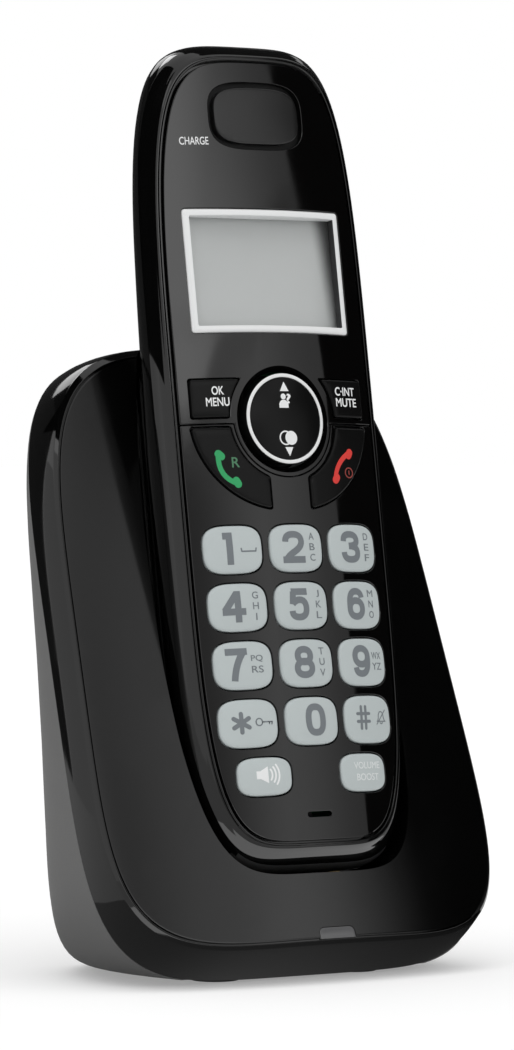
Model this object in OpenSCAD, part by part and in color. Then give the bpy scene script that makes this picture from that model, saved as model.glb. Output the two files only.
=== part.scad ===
// Cordless phone: a handset standing in its charging base.
// The handset has its own frame: X across, Y into the face, Z along its length from just above the chin.
// The base face has a second frame of the same kind, which starts at the floor and leans further back.

/* [Handset] */
// Length of the handset above its chin
handset_l = 159; // [154:0.5:176]
// Length of the chin at the handset's lower end
chin_l = 2.2; // [1.8:0.1:2.4]
// Length of the face on the chin
face_chin_l = 0.9; // [0.5:0.1:1.1]
// Width of the handset
handset_w = 49.8; // [47.5:0.1:50.6]
// Thickness of the handset at the battery
handset_t = 23.8; // [23.7:0.1:26]
// Loss of thickness for each millimetre above the battery
back_taper = 0.096; // [0.08:0.002:0.1]
// Lean of the handset in its cradle, in degrees from upright
handset_lean = 9.25; // [8:0.25:11]
// Squareness of the handset outline's lower half
handset_square = 5; // [4:0.1:6]
// Squareness of the handset outline's upper half
handset_top_square = 4.5; // [4:0.1:5.5]
// Radius of the face across its width
face_crown_r = 80; // [70:1:120]
// Width of the rim beside the face
rim_w = 1.7; // [1.4:0.1:2]
// Width of the rim above and below the face
rim_end = 3.25; // [2.8:0.05:4]
// Depth of the joint between the two handset shells
part_depth = 7.2; // [7.1:0.05:7.4]
// Rounding of the back across the handset
back_round = 20; // [17:0.5:21]
// Rounding of the back at the ends
back_round_end = 12; // [9:0.5:13]
// Wall of the handset shells
handset_wall = 1.8; // [1.4:0.1:2.2]

/* [Handset face] */
// Thickness of the two face plates
plate_t = 1.4; // [1.2:0.1:1.6]
// Thickness of the deck that carries the plates
deck_t = 1.2; // [1:0.1:1.4]
// Width of the lip between the plates and the rim
lip_w = 0.6; // [0.4:0.1:1]
// Height of the line where the two plates meet
plate_split = 83.85; // [83.4:0.05:84.2]
// Radius of the display plate's lobe round the nav key
nav_lobe_r = 11.2; // [10.6:0.1:12]
// Width of the white display frame
display_w = 36; // [32:0.5:38]
// Height of the white display frame
display_h = 24.2; // [20:0.2:26]
// Height of the middle of the display
display_z = 113.65; // [113:0.05:116]
// Border of the display frame
display_border = 1.5; // [1:0.1:2.5]
// Thickness of the display window
window_t = 0.8; // [0.6:0.1:1.2]
// Thickness of the liquid crystal panel
panel_t = 1.8; // [1.4:0.1:2.2]
// Width of the earpiece recess
earpiece_w = 21.6; // [18:0.2:24]
// Height of the earpiece recess
earpiece_h = 13.3; // [11:0.1:15]
// Height of the middle of the earpiece
earpiece_z = 144.05; // [143:0.05:145]
// Width of the groove round the earpiece insert
earpiece_groove = 1.1; // [0.8:0.1:1.5]
// Height of the earpiece insert above the face
earpiece_proud = 0.4; // [0.2:0.1:0.8]
// Height of the microphone slot
mic_z = 8.45; // [8:0.05:8.9]
// Width of the microphone slot
mic_slot_w = 5.5; // [4:0.1:7]

/* [Keys] */
// Width of a digit key
key_w = 12; // [10:0.2:12.4]
// Height of a digit key
key_h = 9.2; // [8:0.1:9.6]
// Squareness of a key outline
key_square = 3.4; // [2.5:0.1:5]
// Spacing of the key columns
key_pitch_x = 13.7; // [13.4:0.1:14]
// Spacing of the key rows
key_pitch_z = 11.1; // [10.8:0.1:11.3]
// Height of the top digit row
key_top_z = 59.55; // [59:0.05:60]
// Width of the speaker and volume keys
low_key_w = 11.3; // [10:0.1:12]
// Height of the speaker and volume keys
low_key_h = 7.3; // [6:0.1:7.8]
// Distance of the speaker and volume keys from the middle
low_key_x = 11.3; // [10:0.1:12]
// Height of the speaker and volume keys on the handset
low_key_z = 16.05; // [15.7:0.05:16.4]
// Height of the keys above the face
key_proud = 0.5; // [0.3:0.05:0.8]
// Travel of the keys
key_travel = 0.6; // [0.4:0.05:0.7]
// Gap round a key in its opening
key_gap = 0.25; // [0.2:0.05:0.4]
// Width of the flange that holds a key behind the deck
flange_w = 0.6; // [0.4:0.05:0.7]
// Thickness of the key flange
flange_t = 0.8; // [0.6:0.05:0.9]
// Depth of the keys behind the crown of the face
key_depth = 6; // [5.8:0.05:6.1]
// Radius of the nav key with its ring
nav_r = 8.8; // [8:0.1:9]
// Height of the middle of the nav key
nav_z = 84.65; // [84.4:0.05:85]
// Width of the white ring of the nav key
nav_ring_w = 1.1; // [0.8:0.1:1.6]
// Height of the nav key above the face
nav_proud = 0.7; // [0.5:0.1:0.9]
// Gap round the nav key, which tilts
nav_gap = 0.6; // [0.5:0.05:0.8]
// Inner radius of the keys round the nav key
nav_clear_r = 12.2; // [11.9:0.1:12.6]
// Outer edge of the soft keys
soft_x = 19.6; // [18.5:0.1:19.8]
// Inner edge of the soft keys
soft_in = 8.4; // [7:0.1:9]
// Top edge of the soft keys
soft_top = 92.45; // [91.6:0.05:92.8]
// Radius of the outer edge of the talk and end keys
call_r = 18.1; // [17.5:0.1:18.4]
// Distance of that edge's centre from the middle
call_x = 2; // [1.5:0.1:2.3]
// Inner edge of the talk and end keys
call_in = 4.6; // [4:0.1:6]

/* [Battery] */
// Diameter of a battery cell
cell_d = 10.2; // [10:0.1:10.3]
// Length of a battery cell
cell_l = 44.5; // [43.5:0.1:45.5]
// Space for a contact at each end of the cells
contact_space = 2.75; // [2.5:0.05:3]
// Wall of the battery bay
bay_wall = 1.5; // [1.2:0.1:1.6]
// Half the width of the battery door
door_half = 16; // [15:0.1:16.6]
// Margin of the battery door beyond the bay's ends
door_margin = 4.4; // [4.2:0.1:5]
// Thickness of the battery door
door_t = 1.6; // [1.4:0.05:1.65]
// Release travel of the battery door
door_travel = 4; // [3:0.1:4.4]

/* [Base] */
// Lean of the base face, in degrees from upright
base_lean = 20.4; // [19:0.2:21.4]
// Width of the base face at its widest level
base_face_w = 87; // [84:0.5:92]
// Lower edge of the face, along the face from the floor
base_face_low = 6.9; // [6.6:0.1:7.4]
// Upper edge of the face, along the face from the floor
base_face_top = 126; // [122:0.5:130]
// Loss of half width for each millimetre up the face
base_taper = 0.055; // [0.04:0.005:0.07]
// Crown of the face across its width
base_crown = 5.3; // [4.5:0.1:6]
// Flare of the sides from the face edge to the seam
base_flare = 1.1; // [0.8:0.1:1.6]
// Rise of the top from the face edge to the seam
base_rise = 3.5; // [2:0.1:4]
// Depth of the seam behind the face edges
seam_depth = 8; // [7:0.1:9]
// Sideways rounding of the rear shell
rear_round = 44; // [40:0.5:46]
// Depth of the rear shell at the top edge
rear_top = 3; // [2.6:0.1:4]
// Wall of the base shells
base_wall = 2; // [1.8:0.1:2.4]
// Height of the rubber feet
foot_h = 1.2; // [0.8:0.1:1.6]
// Diameter of the rubber feet
foot_d = 9; // [7:0.5:10]
// Distance of the feet from the middle
foot_x = 16; // [13:0.5:16]

/* [Cradle] */
// Handset bottom end, behind the line where the base face meets the floor
cradle_y = 2.35; // [2:0.05:2.8]
// Handset bottom end, above the floor
cradle_z = 23.4; // [23.2:0.05:24]
// Gap beside and behind the handset in the cradle
cradle_gap = 1.5; // [1:0.05:1.6]
// Gap under the handset in the cradle
cradle_drop = 1.3; // [1.2:0.05:1.5]
// Gap between the handset and the ribs that it stands on
rib_gap = 0.35; // [0.3:0.05:0.5]
// Distance of the handset's charge pads from its seam
pad_step = 2.3; // [2:0.1:2.6]
// Length of the handset's charge pads, into the handset
pad_l = 4; // [3.4:0.1:4.4]
// Distance of the charge contacts from the middle
contact_x = 9; // [8:0.1:9.6]

/* [Base electronics] */
// Height of the base circuit board above the floor
board_z = 9; // [8.8:0.1:9.6]
// Thickness of the circuit boards
board_t = 1.4; // [1.2:0.1:1.6]
// Half the width of the base circuit board
board_half = 22; // [20.8:0.1:23]
// Width of the line jack
line_jack_w = 13; // [12.6:0.1:13.4]
// Height of the line jack
line_jack_h = 12; // [11.6:0.1:12.6]
// Width of the power jack
power_jack_w = 11; // [10.6:0.1:12]
// Height of the power jack
power_jack_h = 10; // [9.6:0.1:11]
// Depth of both jacks
jack_depth = 14; // [13:0.1:15]
// Wall of both jacks
jack_wall = 1.6; // [1.2:0.1:1.8]
// Distance of the jacks from the middle
jack_x = 13; // [12.8:0.1:13.4]
// Radius of the page button
page_r = 4; // [3.5:0.1:4.3]
// Length of the page button inside the shell
page_l = 7; // [6:0.1:8]
// Travel of the page button
page_travel = 1; // [0.6:0.1:1.2]
// Width of the lamp lens
lamp_w = 8; // [6:0.1:9]
// Height of the lamp lens above the face's lower edge
lamp_h = 2.5; // [2.2:0.1:3]
// Rim of the face under the lamp lens
lamp_sill = 0.3; // [0.2:0.05:0.6]

/* [Hidden] */

// Facets of the round cutters, and points round the two body outlines
$fn = 64;
ring_points = 40;
far = 200;

// Clearances: a glued joint, a free fit between pieces of one body, and a gap between bodies
glue = 0.05;
fit = 0.1;
free = 0.3;

// Colours
gloss_black = [0.06, 0.06, 0.065];
matt_grey = [0.22, 0.22, 0.23];
key_grey = [0.8, 0.83, 0.84];
frame_white = [0.95, 0.95, 0.95];
board_green = [0.1, 0.35, 0.2];
contact_gold = [0.85, 0.7, 0.35];
steel = [0.7, 0.7, 0.72];

// Handset: half sizes, and the levels of what lies behind the face
half_w = handset_w / 2;
half_l = handset_l / 2;
deck_back = plate_t + glue + deck_t;
plate_rim = lip_w + glue;
face_half_w = half_w - rim_w;
face_half_l = half_l - rim_end;
cavity_side = 0.4;
cavity_half_w = face_half_w - cavity_side;
cavity_half_l = face_half_l + cavity_side;
mat_front = key_depth + flange_t + key_travel + 0.2;
mat_t = 1.2;
board_front = mat_front + mat_t;
board_back = board_front + board_t;
frame_back = 3.55;
window_front = frame_back + glue;
panel_front = window_front + window_t;
backlight_front = panel_front + panel_t;
backlight_low = display_z - display_h / 2 + fit;
mat_side = 0.9;
board_side = 1.9;
board_end = display_z + display_h / 2 + 3;

// Battery bay, from its floor to the seat of the door
bay_floor_t = 0.8;
bay_front = board_back + 0.2 + bay_floor_t;
bay_half_w = cell_d + 0.4;
door_top = half_l;
bay_top = door_top - door_margin;
bay_z = bay_top - cell_l - 2 * contact_space;
door_low = bay_z - door_margin;
ledge_t = 1.4;
tongue_half = 5;
tongue_l = 2.2;
tongue_t = 1.1;

// Handset screws
handset_screw_at = [[-19.2, 70.6], [19.2, 70.6], [-16.5, 133.5], [16.5, 133.5]];
handset_boss_r = 2.4;
handset_post_r = 2.8;
handset_shank_r = 1;
handset_head_r = 2.2;
handset_head_depth = part_depth + 4;
handset_head_t = 1.6;

// Key rows, and the columns of every row of three
digit_names = [["1", "2", "3"], ["4", "5", "6"], ["7", "8", "9"], ["star", "0", "hash"]];
digit_rows = len(digit_names);

// Base outline
base_mid = (base_face_low + base_face_top) / 2;
base_half_l = (base_face_top - base_face_low) / 2;
base_half_w = base_face_w / 2;
widest_level = 46;
top_square = 4.6;
low_square = 5;
crown_r = (base_half_w * base_half_w + base_crown * base_crown) / (2 * base_crown);
rear_angle = 60;
rear_sink = 0.9;
rear_slope = tan(base_lean) / sin(rear_angle);
rear_flat = seam_depth + fit + sin(rear_angle) * (rear_top + rear_slope * base_face_top);
back_y = rear_flat * cos(base_lean);
front_y = base_face_low * sin(base_lean) - base_crown * cos(base_lean);
page_proud = 0.6;
base_y = -(front_y + back_y + page_proud) / 2;
floor_top = foot_h + base_wall;
back_inside = back_y - base_wall;

// Cradle well: the handset with a gap all round
well_half_w = half_w + cradle_gap;
well_half_l = half_l + cradle_drop;
well_depth = handset_t + cradle_gap;
well_reach = 20;

// Base screws, across and along the face
base_screw_at = [[-33, 44], [33, 44], [-33, 96], [33, 96]];
base_boss_r = 3;
base_post_r = 3.8;
base_shank_r = 1.2;
base_head_r = 2.7;
base_head_depth = seam_depth + 5;
base_head_t = 2;

// Base electronics
board_front_y = 14;
board_back_y = back_y - 4.5;
board_tongue_half = 6;
board_tongue_y = 5;
board_post_r = 3;
board_top = board_z + board_t;
jack_front = back_y - jack_depth;
jack_proud = 0.2;
page_z = board_top + line_jack_h / 2;
page_flange = 1.2;
switch_back = back_inside - page_l;
switch_depth = 4;
foot_front_y = 16;
foot_back_y = 44;

// Points on a rounded outline, from the right side counterclockwise as seen from the front
function signed_power(v, p) = sign(v) * pow(abs(v), p);
function oval(a, b, square, count) = [
    for (i = [0 : count - 1])
        let (q = 360 * i / count)
        [a * signed_power(cos(q), 2 / square), b * signed_power(sin(q), 2 / square)]
];

// Depth of the handset face beside its middle line
function face_depth(x) = face_crown_r - sqrt(face_crown_r * face_crown_r - x * x);

// Handset outline round its middle, with the lower half lengthened for the chin
function handset_oval(a, b, extra, count) = [
    for (i = [0 : count - 1])
        let (q = 360 * i / count)
        let (upper = sin(q) > 0)
        let (square = upper ? handset_top_square : handset_square)
        let (reach = upper ? b : b + extra)
        [a * signed_power(cos(q), 2 / square), reach * signed_power(sin(q), 2 / square)]
];

// Handset outline as a ring of points at one depth, or following the face by a share
function handset_ring(a, b, depth, follow, extra) = [
    for (p = handset_oval(a, b, extra, ring_points))
        [p.x, depth - follow * (depth - face_depth(p.x)), half_l + p.y]
];

// Ring of the handset's back, from its seam to its flat, with the upper half thinner towards the top
function back_ring(a, b, start, depth, share) = [
    for (p = handset_oval(a, b, chin_l, ring_points))
        [p.x, start + share * (depth - back_taper * max(0, p.y)), half_l + p.y]
];

// Base outline: half width falls with height, and the lower corners are squarer
function base_point(q, grow, low, high) =
    let (square = sin(q) > 0 ? top_square : low_square)
    let (reach = sin(q) > 0 ? high - base_mid : base_mid - low)
    let (level = base_mid + reach * signed_power(sin(q), 2 / square))
    let (half = base_half_w + grow - base_taper * (level - widest_level))
    [half * signed_power(cos(q), 2 / square), level];

// Depth of the crowned base face
function base_face(x) = crown_r - sqrt(crown_r * crown_r - x * x) - base_crown;

// Ring of the front shell: turn 0 is the face edge and turn 90 the seam
function front_ring(turn, inset, back) = [
    let (grow = base_flare * sin(turn) - inset)
    let (low = base_face_low - grow)
    let (high = base_face_top + base_rise * sin(turn) - inset)
    for (i = [0 : ring_points - 1])
        let (p = base_point(360 * i / ring_points, grow, low, high))
        [p.x, back - (back - base_face(p.x) - inset) * cos(turn), p.y]
];

// Ring on the crowned face, drawn in to a share of its edge
function face_ring(share, inset) = [
    for (i = [0 : ring_points - 1])
        let (p = base_point(360 * i / ring_points, -inset, base_face_low + inset, base_face_top - inset))
        [share * p.x, base_face(share * p.x) + inset, base_mid + share * (p.y - base_mid)]
];

// Lower edge of a rear ring, which stays just under the flat bottom at any depth
function rear_low(turn) =
    let (rise = tan(base_lean))
    let (reach = seam_depth + sin(turn) * (rear_top + rear_slope * base_face_top))
    (rise * reach + (foot_h - rear_sink) / cos(base_lean)) / (1 + rise * sin(turn) * rear_slope);

// Ring of the rear shell: turn 0 is the seam and rear_angle the flat, upright back
function rear_ring(turn, inset) = [
    let (cut = inset + rear_round * (1 - cos(turn)))
    for (i = [0 : ring_points - 1])
        let (q = 360 * i / ring_points)
        let (p = base_point(q, base_flare - cut, rear_low(turn), base_face_top + base_rise - cut))
        let (depth = rear_top + rear_slope * (base_face_top - p.y))
        [p.x, seam_depth + fit - inset + sin(turn) * depth, p.y]
];

// Closed skin over rings from front to back, with a point in the middle of each end
module loft(rings, front, back) {
    n = len(rings[0]);
    m = len(rings);
    sides = [
        for (k = [0 : m - 2], i = [0 : n - 1])
            let (j = (i + 1) % n, a = k * n, b = a + n)
            each [[a + i, a + j, b + j], [a + i, b + j, b + i]]
    ];
    ends = [
        for (i = [0 : n - 1])
            let (j = (i + 1) % n, last = (m - 1) * n)
            each [[m * n, j, i], [m * n + 1, last + i, last + j]]
    ];
    polyhedron(concat([for (ring = rings) each ring], [front, back]), concat(sides, ends));
}

// Frames
module in_handset() {
    translate([0, base_y + cradle_y, cradle_z])
        rotate([-handset_lean, 0, 0])
            children();
}

module in_base() {
    translate([0, base_y, 0])
        rotate([-base_lean, 0, 0])
            children();
}

module on_floor() {
    translate([0, base_y, 0])
        children();
}

// A flat shape drawn across and up, given depth from one level to another
module into(from, to) {
    translate([0, to, 0])
        rotate([90, 0, 0])
            linear_extrude(to - from)
                children();
}

// A round bar along the depth
module bar(r, from, to) {
    translate([0, from, 0])
        rotate([-90, 0, 0])
            cylinder(r = r, h = to - from);
}

// A box between two corners
module block(low, high) {
    translate(low)
        cube(high - low);
}

// Everything behind the handset face, moved forward by a margin
module behind_face(margin) {
    translate([0, face_crown_r, -far / 2])
        cylinder(r = face_crown_r + margin, h = handset_l + far, $fn = 128);
}

module handset_front_body() {
    turns = [0 : 18 : 90];
    rings = [
        for (t = turns)
            let (side = half_w - rim_w * (1 - sin(t)))
            let (end = half_l - rim_end * (1 - sin(t)))
            let (extra = face_chin_l + (chin_l - face_chin_l) * sin(t))
            handset_ring(side, end, part_depth, cos(t), extra)
    ];
    loft(rings, [0, 0, half_l], [0, part_depth, half_l]);
}

// Back of the handset, with its walls moved in by an inset
module handset_rear_body(inset) {
    depth = handset_t - part_depth - fit;
    start = part_depth + fit - inset;
    rings = [
        for (t = [0 : 15 : 90])
            let (side = half_w - inset - back_round * (1 - cos(t)))
            let (end = half_l - inset - back_round_end * (1 - cos(t)))
            back_ring(side, end, start, depth, sin(t))
    ];
    loft(rings, [0, start, half_l], [0, start + depth, half_l]);
}

// Space that the handset needs in the cradle, grown by a wall, and open to the front
module well_body(grow) {
    front = -30;
    depth = well_depth + grow - part_depth;
    round_rings = [
        for (t = [0 : 15 : 90])
            let (side = well_half_w + grow - back_round * (1 - cos(t)))
            let (end = well_half_l + grow - back_round_end * (1 - cos(t)))
            handset_ring(side, end, part_depth + depth * sin(t), 0, chin_l)
    ];
    rings = concat([handset_ring(well_half_w + grow, well_half_l + grow, front, 0, chin_l)], round_rings);
    loft(rings, [0, front, half_l], [0, part_depth + depth, half_l]);
}

// Front of the base, moved in by an inset, from the face to a depth
module base_front_body(inset, back) {
    face = [for (share = [0.25 : 0.25 : 0.75]) face_ring(share, inset)];
    side = [for (t = [0 : 18 : 90]) front_ring(t, inset, back)];
    loft(concat(face, side), [0, inset - base_crown, base_mid], [0, back, base_mid]);
}

// All that lies straight behind the face, to hold the cup of the well
module behind_base_face(back) {
    face = [for (share = [0.25 : 0.25 : 1]) face_ring(share, base_wall / 2)];
    end = [for (p = face_ring(1, base_wall / 2)) [p.x, back, p.z]];
    loft(concat(face, [end]), [0, base_wall / 2 - base_crown, base_mid], [0, back, base_mid]);
}

module base_rear_body(inset) {
    rings = [for (t = [0 : 12 : rear_angle]) rear_ring(t, inset)];
    start = seam_depth + fit - inset;
    depth = sin(rear_angle) * (rear_top + rear_slope * (base_face_top - base_mid));
    loft(rings, [0, start, base_mid], [0, start + depth, base_mid]);
}

// Outlines on the handset face, grown by a margin
module digit_outline(grow) {
    polygon(oval(key_w / 2 + grow, key_h / 2 + grow, key_square, 32));
}

module low_key_outline(grow) {
    polygon(oval(low_key_w / 2 + grow, low_key_h / 2 + grow, key_square, 32));
}

module soft_outline(grow) {
    difference() {
        translate([soft_in - grow, plate_split + 1.3 - grow])
            square([soft_x - soft_in + 2 * grow, soft_top - plate_split - 1.3 + 2 * grow]);
        translate([0, nav_z])
            circle(nav_clear_r - grow, $fn = 96);
    }
}

module call_outline(grow) {
    difference() {
        intersection() {
            translate([call_x, nav_z + 0.6])
                circle(call_r + grow, $fn = 96);
            translate([call_in - grow, 0])
                square([far, plate_split - 0.7 + grow]);
        }
        translate([0, nav_z])
            circle(nav_clear_r - grow, $fn = 96);
    }
}

module nav_outline(grow) {
    translate([0, nav_z])
        circle(nav_r + grow, $fn = 96);
}

module display_outline(grow) {
    translate([-display_w / 2 - grow, display_z - display_h / 2 - grow])
        square([display_w + 2 * grow, display_h + 2 * grow]);
}

module earpiece_outline(grow) {
    translate([0, earpiece_z])
        polygon(oval(earpiece_w / 2 + grow, earpiece_h / 2 + grow, key_square, 40));
}

module mic_outline() {
    translate([-mic_slot_w / 2, mic_z - 0.5])
        square([mic_slot_w, 1]);
}

module at_digit(row, column) {
    translate([(column - 1) * key_pitch_x, key_top_z - row * key_pitch_z])
        children();
}

// Every opening for a key, mirrored where the face has a pair
module key_outlines(grow) {
    for (row = [0 : digit_rows - 1], column = [0 : 2])
        at_digit(row, column)
            digit_outline(grow);
    for (side = [-1, 1])
        translate([side * low_key_x, low_key_z])
            low_key_outline(grow);
    for (side = [0, 1])
        mirror([side, 0]) {
            soft_outline(grow);
            call_outline(grow);
        }
}

module plate_outline() {
    translate([0, half_l])
        polygon(handset_oval(face_half_w - plate_rim, face_half_l - plate_rim, face_chin_l, 80));
}

// The upper plate's share of the face: all above the split, and the lobe round the nav key
module upper_share(grow) {
    translate([-far, plate_split - grow])
        square([2 * far, far]);
    translate([0, nav_z])
        circle(nav_lobe_r + grow, $fn = 96);
}

// A plate of the handset face, cut from a flat outline
module face_plate(front, back) {
    difference() {
        intersection() {
            into(-5, part_depth)
                children();
            behind_face(front);
        }
        behind_face(-back);
    }
}

// A key: cap through the face, and a flange behind the deck
module key_cap(proud) {
    intersection() {
        into(-5, key_depth)
            children();
        behind_face(proud);
    }
}

module handset_screw_bars(r, from, to) {
    for (p = handset_screw_at)
        translate([p.x, 0, p.y])
            bar(r, from, to);
}

module base_screw_bars(r, from, to) {
    for (p = base_screw_at)
        translate([p.x, 0, p.y])
            bar(r, from, to);
}

module inner_outline(margin) {
    translate([0, half_l])
        polygon(handset_oval(cavity_half_w - margin, cavity_half_l - margin, face_chin_l, 80));
}

// Sub-parts of the handset

module handset_front_shell() {
    color(gloss_black)
        in_handset()
            difference() {
                union() {
                    difference() {
                        handset_front_body();
                        difference() {
                            into(-5, part_depth)
                                translate([0, half_l])
                                    polygon(handset_oval(face_half_w - lip_w, face_half_l - lip_w, face_chin_l, 80));
                            behind_face(-plate_t - glue);
                        }
                        intersection() {
                            into(-5, part_depth + 1)
                                inner_outline(0);
                            behind_face(-deck_back);
                        }
                    }
                    intersection() {
                        handset_screw_bars(handset_boss_r, 0, part_depth);
                        behind_face(-plate_t - glue - deck_t / 2);
                    }
                }
                into(-5, part_depth - 1)
                    key_outlines(key_gap);
                into(-5, part_depth - 1)
                    nav_outline(nav_gap);
                into(-5, part_depth - 1)
                    display_outline(free);
                into(-5, part_depth - 1)
                    mic_outline();
                for (side = [-1, 1])
                    translate([side * (earpiece_w - earpiece_groove) / 2, 0, earpiece_z])
                        bar(earpiece_groove / 2, -5, part_depth - 1);
                handset_screw_bars(handset_shank_r + fit, part_depth - 1.5, part_depth + 1);
            }
}

module display_plate() {
    color(gloss_black)
        in_handset()
            face_plate(0, plate_t)
                difference() {
                    intersection() {
                        plate_outline();
                        upper_share(-fit);
                    }
                    key_outlines(key_gap);
                    nav_outline(nav_gap);
                    display_outline(fit);
                    earpiece_outline(0);
                }
}

module keypad_plate() {
    color(gloss_black)
        in_handset()
            face_plate(0, plate_t)
                difference() {
                    plate_outline();
                    upper_share(fit);
                    key_outlines(key_gap);
                    mic_outline();
                }
}

module display_frame() {
    color(frame_white)
        in_handset()
            intersection() {
                into(-5, frame_back)
                    difference() {
                        display_outline(0);
                        display_outline(-display_border);
                    }
                behind_face(0);
            }
}

module display_window() {
    color([0.85, 0.9, 0.9, 0.3])
        in_handset()
            into(window_front, window_front + window_t)
                display_outline(-fit);
}

module display_panel() {
    color([0.66, 0.68, 0.68])
        in_handset()
            into(panel_front, panel_front + panel_t)
                display_outline(-fit);
}

module display_backlight() {
    color(frame_white)
        in_handset()
            into(backlight_front, board_front)
                display_outline(-fit);
}

module earpiece_insert() {
    color(gloss_black)
        in_handset()
            face_plate(earpiece_proud, plate_t)
                earpiece_outline(-earpiece_groove);
}

module earpiece_speaker() {
    speaker_r = 9;
    speaker_t = 4;
    speaker_front = deck_back + face_depth(speaker_r) + fit;
    color(steel)
        in_handset()
            translate([0, 0, earpiece_z])
                bar(speaker_r, speaker_front, speaker_front + speaker_t);
}

// The loudspeaker fires through holes in the back
loudspeaker_r = 10;
loudspeaker_t = 5;
loudspeaker_z = display_z;

module loudspeaker() {
    color(steel)
        in_handset()
            translate([0, 0, loudspeaker_z])
                bar(loudspeaker_r, board_back, board_back + loudspeaker_t);
}

module microphone() {
    mic_r = 2.4;
    mic_t = 2.5;
    color(steel)
        in_handset()
            translate([0, 0, mic_z])
                bar(mic_r, board_front - mic_t, board_front);
}

module keypad_mat() {
    low = low_key_z - low_key_h / 2 - flange_w;
    high = min(soft_top + flange_w, backlight_low - fit);
    color([0.55, 0.57, 0.58])
        in_handset()
            difference() {
                into(mat_front, board_front)
                    intersection() {
                        inner_outline(mat_side);
                        translate([-far, low])
                            square([2 * far, high - low]);
                    }
                handset_screw_bars(handset_post_r + free, 0, board_back);
            }
}

module handset_circuit_board() {
    color(board_green)
        in_handset()
            difference() {
                into(board_front, board_back)
                    intersection() {
                        inner_outline(board_side);
                        translate([-far, 0])
                            square([2 * far, board_end]);
                    }
                handset_screw_bars(handset_post_r + free, 0, board_back + 1);
            }
}

// Slots at the bottom end for the charge pads, and the pads that fill them
pad_half = 2.2;
pad_low = 1.3 - chin_l;
pad_top = pad_low + 2;
pad_front = part_depth + pad_step;
pad_back = pad_front + pad_l;

module charge_pad_blocks(grow, low) {
    for (side = [-1, 1])
        translate([side * contact_x, 0, 0])
            block([-pad_half - grow, pad_front - grow, low], [pad_half + grow, pad_back + grow, pad_top + grow]);
}

module handset_charge_pads() {
    color(contact_gold)
        in_handset()
            charge_pad_blocks(0, pad_low);
}

// Space of the battery door in the back, grown by a margin and lengthened for its travel
module door_space(grow, travel) {
    block([-door_half - grow, bay_front, door_low - grow - travel], [door_half + grow, far, door_top + grow]);
}

module tongue(grow, low) {
    seat = handset_t - door_t;
    block(
        [-tongue_half - grow, seat - tongue_t - grow, low],
        [tongue_half + grow, seat + fit + grow, door_top + tongue_l + grow]
    );
}

module handset_rear_shell() {
    color(gloss_black)
        in_handset()
            difference() {
                union() {
                    difference() {
                        handset_rear_body(0);
                        handset_rear_body(handset_wall);
                    }
                    intersection() {
                        handset_rear_body(0);
                        union() {
                            block(
                                [-bay_half_w - bay_wall, bay_front - bay_floor_t, bay_z - bay_wall],
                                [bay_half_w + bay_wall, handset_t, bay_top + bay_wall]
                            );
                            difference() {
                                door_space(free + ledge_t, door_travel + tongue_l);
                                handset_rear_body(door_t + free + ledge_t);
                            }
                            block(
                                [-tongue_half - ledge_t, handset_t - door_t - tongue_t - ledge_t, bay_top],
                                [tongue_half + ledge_t, handset_t, door_top + tongue_l + ledge_t]
                            );
                            handset_screw_bars(handset_post_r, part_depth, handset_t);
                        }
                    }
                }
                block([-bay_half_w, bay_front, bay_z], [bay_half_w, handset_t + 1, bay_top]);
                difference() {
                    door_space(free, door_travel + free);
                    handset_rear_body(door_t + free);
                }
                tongue(free, bay_top - 1);
                handset_screw_bars(handset_shank_r + fit, part_depth, handset_t);
                handset_screw_bars(handset_head_r + fit, handset_head_depth, handset_t + 1);
                charge_pad_blocks(fit, -chin_l - 1);
                for (row = [-1 : 1], column = [-1 : 1])
                    translate([column * 4, 0, loudspeaker_z + row * 4])
                        bar(0.8, board_back + loudspeaker_t, handset_t + 1);
            }
}

module battery_cells() {
    color(steel)
        in_handset()
            for (side = [-1, 1])
                translate([side * (cell_d + fit) / 2, bay_front + fit + cell_d / 2, bay_z + contact_space])
                    cylinder(d = cell_d, h = cell_l);
}

module battery_contacts() {
    leaf_t = 0.5;
    leaf_half = 4;
    spring_r = 2.5;
    middle = bay_front + fit + cell_d / 2;
    color(contact_gold)
        in_handset()
            for (side = [-1, 1], end = [0, 1])
                translate([side * (cell_d + fit) / 2, middle, end == 0 ? bay_z : bay_top])
                    mirror([0, 0, end]) {
                        block([-leaf_half, -leaf_half, 0], [leaf_half, leaf_half, leaf_t]);
                        cylinder(r = spring_r, h = contact_space - glue);
                    }
}

module battery_door() {
    color(gloss_black)
        in_handset() {
            intersection() {
                difference() {
                    handset_rear_body(0);
                    handset_rear_body(door_t);
                }
                door_space(0, 0);
            }
            tongue(0, door_top - tongue_l);
        }
}

module handset_screws() {
    color(steel)
        in_handset() {
            handset_screw_bars(handset_shank_r, part_depth - 1.2, handset_head_depth);
            handset_screw_bars(handset_head_r, handset_head_depth, handset_head_depth + handset_head_t);
        }
}

// Keys

module digit_key(row, column) {
    color(key_grey)
        in_handset() {
            key_cap(key_proud)
                at_digit(row, column)
                    digit_outline(0);
            into(key_depth, key_depth + flange_t)
                at_digit(row, column)
                    digit_outline(flange_w);
        }
}

module low_key(side) {
    color(key_grey)
        in_handset() {
            key_cap(key_proud)
                translate([side * low_key_x, low_key_z])
                    low_key_outline(0);
            into(key_depth, key_depth + flange_t)
                translate([side * low_key_x, low_key_z])
                    low_key_outline(flange_w);
        }
}

module soft_key(side) {
    color(gloss_black)
        in_handset()
            mirror([side < 0 ? 1 : 0, 0, 0]) {
                key_cap(key_proud)
                    soft_outline(0);
                into(key_depth, key_depth + flange_t)
                    soft_outline(0);
            }
}

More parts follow.
